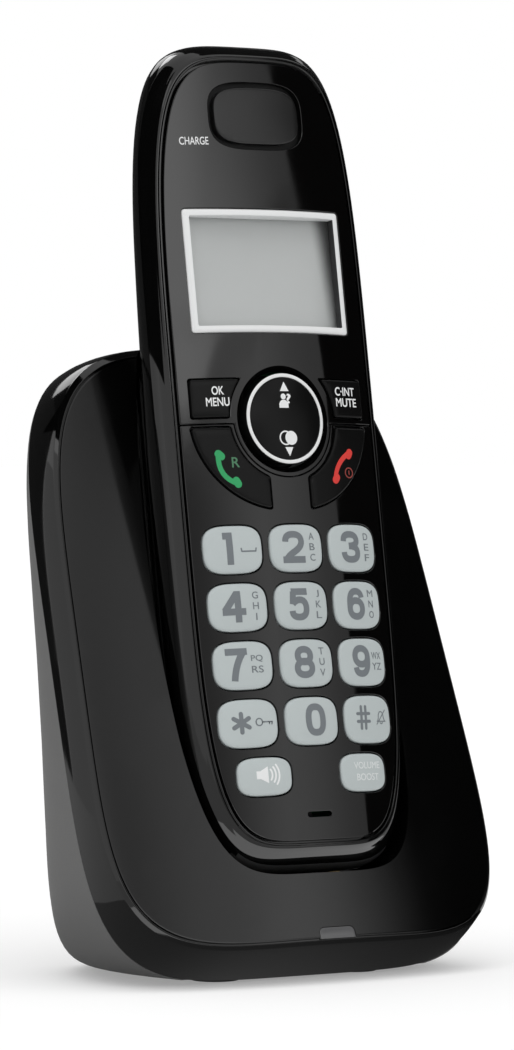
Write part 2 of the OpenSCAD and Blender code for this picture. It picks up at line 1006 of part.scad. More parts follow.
module call_key(side) {
    color(gloss_black)
        in_handset()
            mirror([side < 0 ? 1 : 0, 0, 0]) {
                key_cap(key_proud)
                    call_outline(0);
                into(key_depth, key_depth + flange_t)
                    call_outline(0);
            }
}

module nav_key() {
    color(gloss_black)
        in_handset() {
            key_cap(nav_proud)
                nav_outline(-nav_ring_w - glue);
            into(key_depth, key_depth + flange_t)
                nav_outline(flange_w);
        }
}

module nav_ring() {
    color(frame_white)
        in_handset()
            key_cap(nav_proud)
                difference() {
                    nav_outline(0);
                    nav_outline(-nav_ring_w);
                }
}

// Sub-parts of the base

module well_ribs() {
    rib_half = 1.2;
    rib_x = 4.5;
    rib_front = part_depth + 2;
    rib_back = part_depth + 7;
    for (side = [-1, 1])
        translate([side * rib_x, 0, 0])
            block(
                [-rib_half, rib_front, -chin_l - cradle_drop - base_wall / 2],
                [rib_half, rib_back, -chin_l - rib_gap]
            );
}

tip_half = 1.2;
tip_middle = (pad_front + pad_back) / 2;

module contact_tips(grow, low, high) {
    for (side = [-1, 1])
        translate([side * contact_x, tip_middle, 0])
            block([-tip_half - grow, -tip_half - grow, low], [tip_half + grow, tip_half + grow, high]);
}

// Lens space at the foot of the face, cut out of the front body
module lamp_space(grow) {
    lamp_low = base_face_low + lamp_sill;
    lamp_high = base_face_low + lamp_h;
    block(
        [-lamp_w / 2 - grow, -base_crown - 2, lamp_low - grow],
        [lamp_w / 2 + grow, -base_crown + base_wall + 1.5 + grow, lamp_high + grow]
    );
}

module base_front_shell() {
    color(gloss_black)
        difference() {
            union() {
                in_base()
                    difference() {
                        base_front_body(0, seam_depth);
                        base_front_body(base_wall, seam_depth + 1);
                    }
                intersection() {
                    in_base()
                        behind_base_face(seam_depth + well_reach);
                    in_handset()
                        well_body(base_wall);
                }
                in_base()
                    intersection() {
                        base_screw_bars(base_boss_r, -base_crown, seam_depth);
                        base_front_body(base_wall / 2, seam_depth + 1);
                    }
            }
            in_handset()
                difference() {
                    well_body(0);
                    well_ribs();
                }
            in_handset()
                contact_tips(free, -far / 10, -chin_l);
            in_base() {
                lamp_space(fit);
                base_screw_bars(base_shank_r + fit, 1, seam_depth + 2);
            }
        }
}

module base_rear_shell() {
    color(matt_grey)
        difference() {
            union() {
                difference() {
                    in_base()
                        base_rear_body(0);
                    intersection() {
                        in_base()
                            base_rear_body(base_wall);
                        block([-far, -far, floor_top], [far, far, far]);
                    }
                }
                intersection() {
                    in_base()
                        base_rear_body(0);
                    union() {
                        in_base()
                            base_screw_bars(base_post_r, seam_depth + fit, far);
                        on_floor()
                            board_posts();
                    }
                }
            }
            block([-far, -far, -far], [far, far, foot_h]);
            in_base() {
                base_screw_bars(base_shank_r + fit, 0, far);
                base_screw_bars(base_head_r + fit, base_head_depth, far);
            }
            on_floor() {
                jack_block(jack_x, line_jack_w + 2 * free, line_jack_h + free, 0, 5);
                jack_block(-jack_x, power_jack_w + 2 * free, power_jack_h + free, 0, 5);
                translate([0, 0, page_z])
                    bar(page_r + free, back_inside - 1, back_y + 5);
            }
        }
}

module board_posts() {
    for (side = [-1, 1], y = [board_front_y + board_post_r, jack_front - board_post_r])
        translate([side * (board_half - board_post_r), y, foot_h])
            cylinder(r = board_post_r, h = board_z - foot_h);
}

// Outside of a jack that stands on the board, from inside the shell to behind its back
module jack_block(x, w, h, lift, past) {
    translate([x - w / 2, jack_front, board_top + lift])
        cube([w, jack_depth + past, h]);
}

module base_feet() {
    color([0.12, 0.12, 0.12])
        on_floor()
            for (side = [-1, 1], y = [foot_front_y, foot_back_y])
                translate([side * foot_x, y, 0])
                    cylinder(d = foot_d, h = foot_h);
}

module base_screws() {
    color(steel)
        in_base() {
            base_screw_bars(base_shank_r, 2, base_head_depth);
            base_screw_bars(base_head_r, base_head_depth, base_head_depth + base_head_t);
        }
}

module base_circuit_board() {
    color(board_green)
        on_floor() {
            block([-board_half, board_front_y, board_z], [board_half, board_back_y, board_top]);
            block([-board_tongue_half, board_tongue_y, board_z], [board_tongue_half, board_front_y + 1, board_top]);
        }
}

module base_charge_contacts() {
    plate_half = 2.8;
    plate_high = -chin_l - cradle_drop - base_wall - 0.15;
    color(contact_gold)
        in_handset() {
            contact_tips(0, plate_high - 0.4, pad_low - 0.38);
            for (side = [-1, 1])
                translate([side * contact_x, tip_middle, 0])
                    block([-plate_half, -plate_half, plate_high - 0.8], [plate_half, plate_half, plate_high]);
        }
}

module lamp_lens() {
    color([0.5, 0.5, 0.5, 0.7])
        in_base()
            intersection() {
                base_front_body(0, seam_depth);
                lamp_space(0);
            }
}

module lamp_diode() {
    diode_r = 1.5;
    diode_front = 2.6;
    color([0.9, 0.4, 0.35])
        on_floor()
            translate([0, 0, board_z + board_t / 2])
                bar(diode_r, diode_front, board_tongue_y);
}

// A socket that is open to the back
module jack(x, w, h) {
    on_floor()
        difference() {
            jack_block(x, w, h, 0, jack_proud);
            translate([0, jack_wall * 2, 0])
                jack_block(x, w - 2 * jack_wall, h - 2 * jack_wall, jack_wall, 5);
        }
}

module line_jack() {
    color([0.1, 0.1, 0.11])
        jack(jack_x, line_jack_w, line_jack_h);
}

module power_jack() {
    color([0.1, 0.1, 0.11])
        jack(-jack_x, power_jack_w, power_jack_h);
}

module page_button() {
    color(matt_grey)
        on_floor()
            translate([0, 0, page_z]) {
                bar(page_r, switch_back + page_travel + free, back_y + page_proud);
                bar(page_r + page_flange, back_inside - free - 1, back_inside - free);
            }
}

module page_switch() {
    switch_half = 3;
    color([0.15, 0.15, 0.16])
        on_floor()
            block(
                [-switch_half, switch_back - switch_depth, board_top],
                [switch_half, switch_back, page_z + switch_half]
            );
}

base_front_shell();
base_rear_shell();
base_feet();
base_screws();
base_circuit_board();
base_charge_contacts();
lamp_lens();
lamp_diode();
line_jack();
power_jack();
page_button();
page_switch();
handset_front_shell();
display_plate();
keypad_plate();
display_frame();
display_window();
display_panel();
display_backlight();
earpiece_insert();
earpiece_speaker();
loudspeaker();
microphone();
keypad_mat();
handset_circuit_board();
handset_rear_shell();
battery_cells();
battery_contacts();
battery_door();
handset_charge_pads();
handset_screws();
nav_key();
nav_ring();
soft_key(-1);  // menu_key
soft_key(1);  // clear_key
call_key(-1);  // talk_key
call_key(1);  // end_key
for (row = [0 : digit_rows - 1], column = [0 : 2])
    digit_key(row, column);
low_key(-1);  // speaker_key
low_key(1);  // volume_key
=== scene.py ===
"""Cordless phone in its charging base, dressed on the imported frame.

Every piece is modelled in millimetres in the frame of the handset or of the base face, with X across,
Y into the face and Z along it, and is then set down on the frame in metres.
"""
import math

import bpy
from mathutils import Matrix, Vector


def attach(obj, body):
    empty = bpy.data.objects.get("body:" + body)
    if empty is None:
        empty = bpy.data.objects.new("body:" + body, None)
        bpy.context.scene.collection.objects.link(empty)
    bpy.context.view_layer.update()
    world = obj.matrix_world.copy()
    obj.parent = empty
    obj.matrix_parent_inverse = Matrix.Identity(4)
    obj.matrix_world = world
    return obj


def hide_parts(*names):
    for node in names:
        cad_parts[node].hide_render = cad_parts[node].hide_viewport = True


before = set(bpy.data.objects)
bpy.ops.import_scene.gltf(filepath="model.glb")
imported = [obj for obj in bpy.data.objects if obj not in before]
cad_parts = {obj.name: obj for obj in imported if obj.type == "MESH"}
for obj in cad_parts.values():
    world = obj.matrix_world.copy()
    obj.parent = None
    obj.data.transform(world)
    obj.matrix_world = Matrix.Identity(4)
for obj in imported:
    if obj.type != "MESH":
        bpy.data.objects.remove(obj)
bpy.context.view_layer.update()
bpy.ops.object.select_all(action="DESELECT")

MM = 0.001
# Points round the outlines of the shells
OUTLINE_COUNT = 240

# Frames, in millimetres
LEAN = math.radians(20.4)
FLOOR = Matrix.Translation((0, -25.992, 0))
BASE = FLOOR @ Matrix.Rotation(-LEAN, 4, "X")
HANDSET = Matrix.Translation((0, -23.642, 23.4)) @ Matrix.Rotation(math.radians(-9.25), 4, "X")
HERE = Matrix.Identity(4)

# Handset
HALF_W = 24.9
HALF_L = 79.5
CHIN_L = 2.2
FACE_CHIN_L = 0.9
HANDSET_T = 23.8
HANDSET_SQUARE = 5
HANDSET_TOP_SQUARE = 4.5
CROWN_R = 80
RIM_W = 1.7
RIM_END = 3.25
LIP_W = 0.75
# Rim of the handset from the seam to the face: share of the rim's width drawn in, and depth
RIM_PROFILE = (
    (0, 7.2), (0.01, 6.4), (0.035, 5.4), (0.085, 4.4), (0.17, 3.4), (0.3, 2.4), (0.48, 1.5), (0.7, 0.82),
    (0.745, 0.68), (0.785, 0.54), (0.84, 0.37), (0.95, 0.07), (1, 0.015),
)
# Groove, lip and inner ledge of the rim: distance in from the face's edge, and depth below the face
LIP_PROFILE = (
    (0.05, 0.3), (0.25, 0.3), (0.3, 0.05), (0.36, -0.03), (0.5, -0.05), (0.65, 0), (0.72, 0.1),
    (LIP_W, 0.25), (LIP_W, 1.5), (2, 1.5), (2, 2.6),
)
PART_DEPTH = 7.2
BACK_ROUND = 20
BACK_ROUND_END = 12
BACK_TAPER = 0.096
HANDSET_WALL = 1.8
# Gaps between pieces that are glued, fitted or free to move
GLUE = 0.05
FIT = 0.1
FREE = 0.3
FACE_HALF_W = HALF_W - RIM_W
FACE_HALF_L = HALF_L - RIM_END
CAVITY_HALF_W = FACE_HALF_W - 0.4
CAVITY_HALF_L = FACE_HALF_L + 0.4
CAVITY_STEP = 0.6

# Plates of the face, and what is set into them
PLATE_T = 1.4
PLATE_ROUND = 0.22
PLATE_RIM = LIP_W + 0.45
PLATE_SPLIT = 83.85
PLATE_REACH = 40
NAV_Z = 84.65
NAV_R = 8.8
NAV_RING_W = 0.75
NAV_GAP = 0.6
NAV_LOBE_R = 11.2
NAV_PROUD = 0.7
NAV_ROUND = 0.2
NAV_RING_ROUND = 0.22
NAV_CLEAR_R = 12.2
# Dish round the nav key: radius beyond the key's, and depth
NAV_DISH = ((1.75, -0.5), (1.55, 0.02), (NAV_GAP, 1.25), (0, 1.3))
DISPLAY_Z = 113.65
DISPLAY_HALF_W = 18
DISPLAY_HALF_H = 12.1
DISPLAY_BORDER = 1.35
FRAME_BACK = 3.55
FRAME_PROUD = 0.06
FRAME_CORNER = 0.7
FRAME_INNER_CORNER = 0.3
FRAME_ROUND = 0.12
EARPIECE_Z = 144.05
EARPIECE_HALF_W = 10.8
EARPIECE_HALF_H = 6.65
EARPIECE_GROOVE = 1.1
EARPIECE_PILLOW = 0.2
EARPIECE_ROUND = 0.3
DECK_GROW = (2, 1.5)
DECK_BACK = PLATE_T + 1.2
MIC_Z = 8.45
MIC_HALF_W = 2.75
MIC_HALF_H = 0.5
MIC_CORNER = 0.45

# Keys
KEY_SQUARE = 3.4
KEY_HALF_W = 6
KEY_HALF_H = 4.6
KEY_PITCH_X = 13.7
KEY_PITCH_Z = 11.1
KEY_TOP_Z = 59.55
LOW_KEY_HALF_W = 5.65
LOW_KEY_HALF_H = 3.65
LOW_KEY_X = 11.3
LOW_KEY_Z = 16.05
KEY_GAP = 0.25
KEY_PROUD = 0.5
KEY_DEPTH = 6
FLANGE_W = 0.6
FLANGE_T = 0.8
PILLOW = 0.25
LIGHT_EDGE = 0.5
BLACK_EDGE = 0.45
KEY_STEP = 1.2
SOFT_X = 19.6
SOFT_LOW = PLATE_SPLIT + 1.3
SOFT_TOP = 92.45
SOFT_CORNER = 1
CALL_R = 18.1
CALL_X = 2
CALL_Z = NAV_Z + 0.6
CALL_IN = 4.6
CALL_TOP = PLATE_SPLIT - 0.7
CALL_CORNER = 0.8
DIGITS = (("1", "2", "3"), ("4", "5", "6"), ("7", "8", "9"), ("star", "0", "hash"))
# Light keys: middle of each across and along the face, and half its width and height
LIGHT_KEYS = {}
for row, digits in enumerate(DIGITS):
    for column, digit in enumerate(digits):
        middle = (column - 1) * KEY_PITCH_X, KEY_TOP_Z - row * KEY_PITCH_Z
        LIGHT_KEYS["key_" + digit] = (*middle, KEY_HALF_W, KEY_HALF_H)
LIGHT_KEYS["speaker_key"] = (-LOW_KEY_X, LOW_KEY_Z, LOW_KEY_HALF_W, LOW_KEY_HALF_H)
LIGHT_KEYS["volume_key"] = (LOW_KEY_X, LOW_KEY_Z, LOW_KEY_HALF_W, LOW_KEY_HALF_H)

# Battery door and the back of the handset
DOOR_HALF = 16
DOOR_LOW = 20.7
DOOR_TOP = HALF_L
DOOR_T = 1.6
DOOR_TRAVEL = 4
TONGUE_HALF = 5
TONGUE_L = 2.2
TONGUE_T = 1.1
TONGUE_ROUND = 0.2
BAY_FRONT = 11.2
BAY_HALF_W = 10.6
BAY_LOW = 25.1
BAY_TOP = 75.1
BAY_WALL = 1.5
BAY_FLOOR_T = 0.8
BAY_BACK = 18
SEAT_SIDE = 1.7
SEAT_LOW = DOOR_LOW - 7.9
SEAT_TOP = DOOR_TOP + 4
SEAT_FRONT = 15
SEAT_T = 1.4
SEAT_INSET = 0.4
SEAT_DEPTH = HANDSET_T - DOOR_T
GRIP_COUNT = 5
GRIP_PITCH = 2
GRIP_TOP = DOOR_TOP - 9
GRIP_HALF_W = 5.5
GRIP_HALF_H = 0.5
GRIP_SQUARE = 2.6
GRIP_STEP = 0.7
GRIP_DEPTH = 0.45
HANDSET_SCREWS = ((-19.2, 70.6), (19.2, 70.6), (-16.5, 133.5), (16.5, 133.5))
SCREW_WELL_R = 2.3
HOLE_FRONT = PART_DEPTH + 4
SOUND_HOLE_PITCH = 4
SOUND_HOLE_R = 0.8

# Base
FACE_LOW = 6.9
FACE_TOP = 126
FACE_MID = (FACE_LOW + FACE_TOP) / 2
BASE_HALF_W = 43.5
TAPER = 0.055
WIDEST = 46
BASE_CROWN = 5.3
BASE_CROWN_R = (BASE_HALF_W ** 2 + BASE_CROWN ** 2) / (2 * BASE_CROWN)
FLARE = 1.1
# Edge of the base face down to the seam: share of the flare, and share of the depth
EDGE_PROFILE = (
    (0, 0), (0.025, 0.003), (0.06, 0.012), (0.36, 0.06), (0.395, 0.07), (0.42, 0.085), (0.58, 0.22),
    (0.71, 0.36), (0.82, 0.5), (0.9, 0.64), (0.96, 0.77), (0.99, 0.91), (1, 1),
)
# Groove round the base face: distance in from its edge, and depth
BASE_GROOVE = ((0.6, 0), (0.52, 0.02), (0.5, 0.42), (0.2, 0.42), (0.18, 0.04), (0.1, 0))
RISE = 3.5
SEAM = 8
BASE_WALL = 2
TOP_SQUARE = 4.6
LOW_SQUARE = 5
REAR_SQUARE = 9
SKIRT = 2.3
REAR_ROUND = 44
REAR_TOP = 3
REAR_TURN = 60
REAR_SLOPE = math.tan(LEAN) / math.sin(math.radians(REAR_TURN))
REAR_SINK = 0.9
FOOT_H = 1.2
FLOOR_TOP = 3.2
BACK_Y = 53.947
BASE_SCREWS = ((-33, 44), (33, 44), (-33, 96), (33, 96))
SCREW_HOLE_R = 2.8
SCREW_HOLE_DEPTHS = (13, 60)
# Windows for the jacks: place across, half the width, and height
JACK_WINDOWS = ((13, 6.8, 12.3), (-13, 5.8, 10.3))
JACK_LOW = 10.4
JACK_DEPTHS = (BACK_Y - 12, BACK_Y + 5)
PAGE_Z = 16.4
PAGE_HOLE_R = 4.3
PAGE_DEPTHS = (BACK_Y - 3, BACK_Y + 5)
CRADLE_GAP = 1.5
CRADLE_DROP = 0.5
WELL_FRONT = -30
WELL_BACK = SEAM + 20
CONTACT_X = 9
CONTACT_SLOT_HALF = 1.5
CONTACT_SLOT_LOW = -11
CONTACT_SLOT_DEPTHS = (10, 13)
PAD_SLOT_HALF = 2.3
PAD_SLOT_H = 3.4
PAD_SLOT_DEPTHS = (9.4, 13.6)
RIB_X = 4.5
RIB_HALF = 1.2
RIB_FOOT = 2.3
RIB_GAP = 0.35
RIB_ROUND = 0.3
RIB_DEPTHS = (PART_DEPTH + 2, PART_DEPTH + 7)
LAMP_HALF_W = 4
LAMP_H = 2.5
LAMP_LOW = FACE_LOW + 0.3
LAMP_CORNER = 1.1
LAMP_ROUND = 0.12
LAMP_DEPTHS = (-BASE_CROWN - 2, -BASE_CROWN + BASE_WALL + 1.5)

# Reach of the blocks that cut, beyond what they cut
OVER = 1
WIDE = 100
TALL = 200
BEHIND = HANDSET_T + OVER
FAR_BEHIND = HANDSET_T + 3
THROUGH_PLATE = (-3, 9)
SHARE_DEPTHS = (-3, 6)

# Axes along which a piece is sliced before it is bent
ACROSS = (0,)
BOTH = (0, 2)
# Slices keep off the round numbers, where a piece can have edges of its own
SLICE_SHIFT = 0.007
# Points closer than this are one
MERGE = 0.0005
# Angles in degrees: edges that are rounded, corners that are rounded, and edges that are shaded as sharp
EDGE_ANGLE = 40
CORNER_ANGLE = 25
SHARP_ANGLE = 32
# How squarely a face has to look forward to count as part of the front, as a cosine
PLATE_FRONT = 0.94
BASE_FRONT = 0.93
# How near to the crown a face of the base lies
NEAR_CROWN = 0.3


# Points and curves

def unit_oval(square, count):
    """Points round a squared circle, evenly turned as seen from its middle."""
    points = []
    for i in range(count):
        turn = 2 * math.pi * i / count
        c, s = math.cos(turn), math.sin(turn)
        reach = (abs(c) ** square + abs(s) ** square) ** (-1 / square)
        points.append((c * reach, s * reach))
    return points


def oval(half_w, half_h, square, count, x=0, z=0):
    """Squared oval round a point."""
    return [(x + half_w * u, z + half_h * v) for u, v in unit_oval(square, count)]


def disc(radius, x, z, count=64):
    """Round outline."""
    return oval(radius, radius, 2, count, x, z)


def box(low_x, low_z, high_x, high_z):
    """Rectangular outline."""
    return [(low_x, low_z), (high_x, low_z), (high_x, high_z), (low_x, high_z)]


def two_part(top_square, low_square):
    """Points round a squared circle with other corners above than below."""
    upper, lower = unit_oval(top_square, OUTLINE_COUNT), unit_oval(low_square, OUTLINE_COUNT)
    return [above if above[1] > 0 else below for above, below in zip(upper, lower)]


def arc(radius, x, z, start, end, steps):
    """Points on an arc, by angles in degrees."""
    angles = [math.radians(start + (end - start) * i / steps) for i in range(steps + 1)]
    return [(x + radius * math.cos(a), z + radius * math.sin(a)) for a in angles]


def turns(end, steps):
    """Even turns from nought to an angle in degrees."""
    return [math.radians(end * i / steps) for i in range(steps + 1)]


def face_depth(x):
    """Depth of the crowned handset face beside its middle line."""
    return CROWN_R - math.sqrt(CROWN_R ** 2 - x ** 2)


def base_depth(x):
    """Depth of the crowned base face."""
    return BASE_CROWN_R - math.sqrt(BASE_CROWN_R ** 2 - x ** 2) - BASE_CROWN


# Modelling steps

def only(obj):
    """Selects one object and nothing else."""
    bpy.ops.object.select_all(action="DESELECT")
    obj.select_set(True)
    bpy.context.view_layer.objects.active = obj


def edit(obj):
    """Opens an object for editing with all of it selected."""
    only(obj)
    bpy.ops.object.mode_set(mode="EDIT")
    bpy.ops.mesh.select_all(action="SELECT")


def leave():
    """Turns all the faces outward and closes the edit."""
    bpy.ops.mesh.select_all(action="SELECT")
    bpy.ops.mesh.normals_make_consistent(inside=False)
    bpy.ops.object.mode_set(mode="OBJECT")


def skin(name, rings, wrap=False):
    """Skin over rings of points: a grid is wrapped round them, and its ends are filled or joined."""
    around = len(rings[0])
    steps = len(rings) if wrap else len(rings) - 1
    bpy.ops.mesh.primitive_grid_add(x_subdivisions=around, y_subdivisions=steps, size=2)
    obj = bpy.context.object
    obj.name = name
    for vertex in obj.data.vertices:
        column = round((vertex.co.x + 1) / 2 * around) % around
        row = round((vertex.co.y + 1) / 2 * steps) % len(rings)
        vertex.co = rings[row][column]
    edit(obj)
    bpy.ops.mesh.remove_doubles(threshold=MERGE)
    if not wrap:
        bpy.ops.mesh.fill_holes(sides=0)
    leave()
    return obj


def prism(name, outline, front, back):
    """Straight block behind a flat outline."""
    bpy.ops.mesh.primitive_circle_add(vertices=len(outline), fill_type="NGON")
    obj = bpy.context.object
    obj.name = name
    for vertex, point in zip(obj.data.vertices, outline):
        vertex.co = (point[0], front, point[1])
    edit(obj)
    bpy.ops.mesh.extrude_region_move(TRANSFORM_OT_translate={"value": (0, back - front, 0)})
    leave()
    return obj


def join(first, *others):
    """Makes several objects one."""
    only(first)
    for obj in others:
        obj.select_set(True)
    bpy.ops.object.join()
    return first


def cut(obj, tool, how="DIFFERENCE"):
    """Cuts a tool out of an object, or adds it, or keeps what they share. The tool is used up."""
    only(obj)
    change = obj.modifiers.new("cut", "BOOLEAN")
    change.operation = how
    change.solver = "EXACT"
    change.object = tool
    bpy.ops.object.modifier_apply(modifier=change.name)
    bpy.data.objects.remove(tool)
    return obj


def round_edges(obj, width, segments=3):
    """Rounds the sharp edges."""
    only(obj)
    change = obj.modifiers.new("round", "BEVEL")
    change.width = width
    change.segments = segments
    change.limit_method = "ANGLE"
    change.angle_limit = math.radians(EDGE_ANGLE)
    change.use_clamp_overlap = False
    bpy.ops.object.modifier_apply(modifier=change.name)
    return obj


def slice_up(obj, axis, step):
    """Cuts extra edges at even places along an axis, so that a flat piece can bend."""
    places = [vertex.co[axis] for vertex in obj.data.vertices]
    low, high = min(places), max(places)
    normal = [0, 0, 0]
    normal[axis] = 1
    edit(obj)
    for i in range(math.ceil(low / step), math.floor(high / step) + 1):
        middle = [0, 0, 0]
        middle[axis] = i * step + SLICE_SHIFT
        bpy.ops.mesh.select_all(action="SELECT")
        bpy.ops.mesh.bisect(plane_co=middle, plane_no=normal)
    leave()


def bend(obj, depth_at, step=1.5, axes=ACROSS, back=None):
    """Lays a piece on a curved face. If the depth of its back is given, the back stays flat."""
    for axis in axes:
        slice_up(obj, axis, step)
    for vertex in obj.data.vertices:
        share = 1 - max(0, vertex.co.y) / back if back else 1
        vertex.co.y += share * depth_at(vertex.co.x, vertex.co.z)
    return obj


def place(obj, matrix):
    """Moves a piece from its own frame to where it stands."""
    only(obj)
    obj.matrix_world = matrix
    bpy.ops.object.transform_apply(location=True, rotation=True, scale=True)
    return obj


def bore(obj, outline, front, back, matrix=HERE):
    """Cuts a straight hole, whose outline is given in a frame."""
    return cut(obj, place(prism("hole", outline, front, back), matrix))


def two_tone(obj, first, second, in_second):
    """Gives an object two finishes, the second on the faces that a test picks."""
    obj.data.materials.clear()
    obj.data.materials.append(first)
    obj.data.materials.append(second)
    for polygon in obj.data.polygons:
        polygon.material_index = 1 if in_second(polygon) else 0


def settle(obj, matrix, body, material, nodes=()):
    """Sets a finished piece down on the frame in metres, with its finish and the nodes it stands for."""
    place(obj, Matrix.Scale(MM, 4) @ matrix)
    bpy.ops.object.shade_smooth_by_angle(angle=math.radians(SHARP_ANGLE))
    if not obj.data.materials:
        obj.data.materials.append(material)
    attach(obj, body)
    if nodes:
        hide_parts(*nodes)
    return obj


def polish(obj):
    """Gives the front of a plate the exact slope of the crowned face, so that it mirrors without ripples."""
    mesh = obj.data
    turn = HANDSET.to_3x3()
    forward = turn @ Vector((0, -1, 0))
    normals = [corner.vector.copy() for corner in mesh.corner_normals]
    for polygon in mesh.polygons:
        if polygon.normal.dot(forward) < PLATE_FRONT:
            continue
        for corner in polygon.loop_indices:
            lean = mesh.vertices[mesh.loops[corner].vertex_index].co.x / MM / CROWN_R
            normals[corner] = turn @ Vector((lean, -math.sqrt(1 - lean ** 2), 0))
    mesh.normals_split_custom_set(normals)


# Materials

class Socket:
    """An output of a shader node, which adds nodes as it is reckoned with."""

    def __init__(self, tree, output):
        self.tree = tree
        self.output = output

    def math(self, operation, first, second):
        return self.tree.add("ShaderNodeMath", {"operation": operation}, {0: first, 1: second})

    def __add__(self, other):
        return self.math("ADD", self, other)

    __radd__ = __add__

    def __sub__(self, other):
        return self.math("SUBTRACT", self, other)

    def __rsub__(self, other):
        return self.math("SUBTRACT", other, self)

    def __mul__(self, other):
        return self.math("MULTIPLY", self, other)

    __rmul__ = __mul__

    def over(self, low, high):
        """Smooth step from nought at low to one at high."""
        settings = {"interpolation_type": "SMOOTHSTEP"}
        inputs = {"Value": self, "From Min": low, "From Max": high}
        return self.tree.add("ShaderNodeMapRange", settings, inputs)


class Tree:
    """The node tree of a material or of the world."""

    def __init__(self, owner):
        owner.use_nodes = True
        self.nodes = owner.node_tree.nodes
        self.links = owner.node_tree.links

    def add(self, kind, settings, inputs, output=0):
        """Adds a node with its settings and inputs, and returns one output."""
        node = self.nodes.new(kind)
        for name, value in settings.items():
            setattr(node, name, value)
        for name, value in inputs.items():
            self.feed(node.inputs[name], value)
        return Socket(self, node.outputs[output])

    def feed(self, socket, value):
        """Links an output to a socket, or sets a constant there."""
        if isinstance(value, Socket):
            self.links.new(value.output, socket)
        elif isinstance(value, tuple) and len(value) == 3 and socket.type == "RGBA":
            socket.default_value = (*value, 1)
        else:
            socket.default_value = value

    def mix(self, share, first, second):
        """A colour between two. A Mix node has its colours at sockets 6 and 7, and the result at 2."""
        return self.add("ShaderNodeMix", {"data_type": "RGBA"}, {0: share, 6: first, 7: second}, 2)


class Paint(Tree):
    """A material on one Principled shader, built from nodes."""

    def __init__(self, name, **constants):
        self.material = bpy.data.materials.new(name)
        super().__init__(self.material)
        self.shader = self.nodes["Principled BSDF"]
        for socket, value in constants.items():
            self.set(socket, value)
        self.place = self.add("ShaderNodeTexCoord", {}, {}, "Object")

    def noise(self, per_metre, detail=3):
        """Even noise between nought and one, with so many lumps to the metre."""
        settings = {"noise_dimensions": "3D"}
        inputs = {"Vector": self.place, "Scale": per_metre, "Detail": detail}
        return self.add("ShaderNodeTexNoise", settings, inputs)

    def set(self, socket, value):
        """Feeds a socket of the shader."""
        self.feed(self.shader.inputs[socket], value)

    def bump(self, height, distance):
        """Raises the surface by a height, in metres of distance."""
        inputs = {"Height": height, "Distance": distance}
        self.set("Normal", self.add("ShaderNodeBump", {}, inputs))


def shade(colour, share):
    """A colour made lighter or darker."""
    return tuple(share * part for part in colour)


def gloss(name, colour, rough, haze=0.04, index=1.5):
    """Polished plastic: a clear surface with faint handling marks and a trace of ripple from the mould."""
    paint = Paint(name, IOR=index)
    cloud = paint.noise(60, 4)
    fine = paint.noise(900, 2)
    paint.set("Base Color", paint.mix(cloud, colour, shade(colour, 1.5)))
    paint.set("Roughness", cloud.over(0.45, 0.75) * haze + fine * 0.02 + rough)
    paint.bump(paint.noise(45, 1), 0.00002)
    return paint.material


def grained(name, colour, rough, grain, depth):
    """Spark-eroded matt plastic: fine grain, and a cloud of slightly lighter wear."""
    paint = Paint(name, IOR=1.48)
    cloud = paint.noise(40, 4)
    texture = paint.noise(grain, 3)
    paint.set("Base Color", paint.mix(cloud, shade(colour, 0.94), shade(colour, 1.06)))
    paint.set("Roughness", texture * 0.16 + rough)
    paint.bump(texture, depth)
    return paint.material


def print_ink(name, colour, rough=0.45):
    """Printed ink, smooth and even."""
    return grained(name + "_print", colour, rough, 5000, 0.000002)


def metal(name, colour, rough):
    """Bright metal with a fine brushed haze."""
    paint = Paint(name, Metallic=1.0)
    haze = paint.noise(1500, 3)
    paint.set("Base Color", paint.mix(haze, shade(colour, 0.9), colour))
    paint.set("Roughness", haze * 0.12 + rough)
    return paint.material


def display_cell(name):
    """Grey display cell: a slow change of tone, a fine grid of dots, and a painted shadow on its right side,
    wider towards the top.
    """
    paint = Paint(name)
    tone = paint.noise(14, 2)
    dots = paint.noise(3500, 1)
    across = paint.add("ShaderNodeSeparateXYZ", {}, {0: paint.place}, 0)
    up = paint.add("ShaderNodeSeparateXYZ", {}, {0: paint.place}, 2)
    # Painted shadow: the shade that the frame casts into the recess, darkening the cell's right side and
    # more of it towards the top.
    painted_shadow = (across + up * 0.115).over(0.0292, 0.0332)
    lit = paint.mix(tone, (0.58, 0.585, 0.58), (0.51, 0.54, 0.535))
    paint.set("Base Color", paint.mix(painted_shadow, lit, (0.05, 0.05, 0.05)))
    paint.set("Roughness", dots * 0.1 + 0.3)
    return paint.material


def clear_sheet(name):
    """Thin clear sheet that lets nearly everything through."""
    paint = Paint(name, Roughness=0.08)
    haze = paint.noise(300, 2)
    paint.set("Base Color", (0.6, 0.62, 0.62))
    paint.set("Alpha", haze * 0.03 + 0.05)
    return paint.material


panel_grey = display_cell("display_cell")
window_clear = clear_sheet("clear_window")
black_gloss = gloss("piano_black_plastic", (0.0018, 0.0017, 0.0017), 0.03)
shell_gloss = gloss("moulded_black_plastic", (0.0016, 0.0016, 0.0016), 0.04)
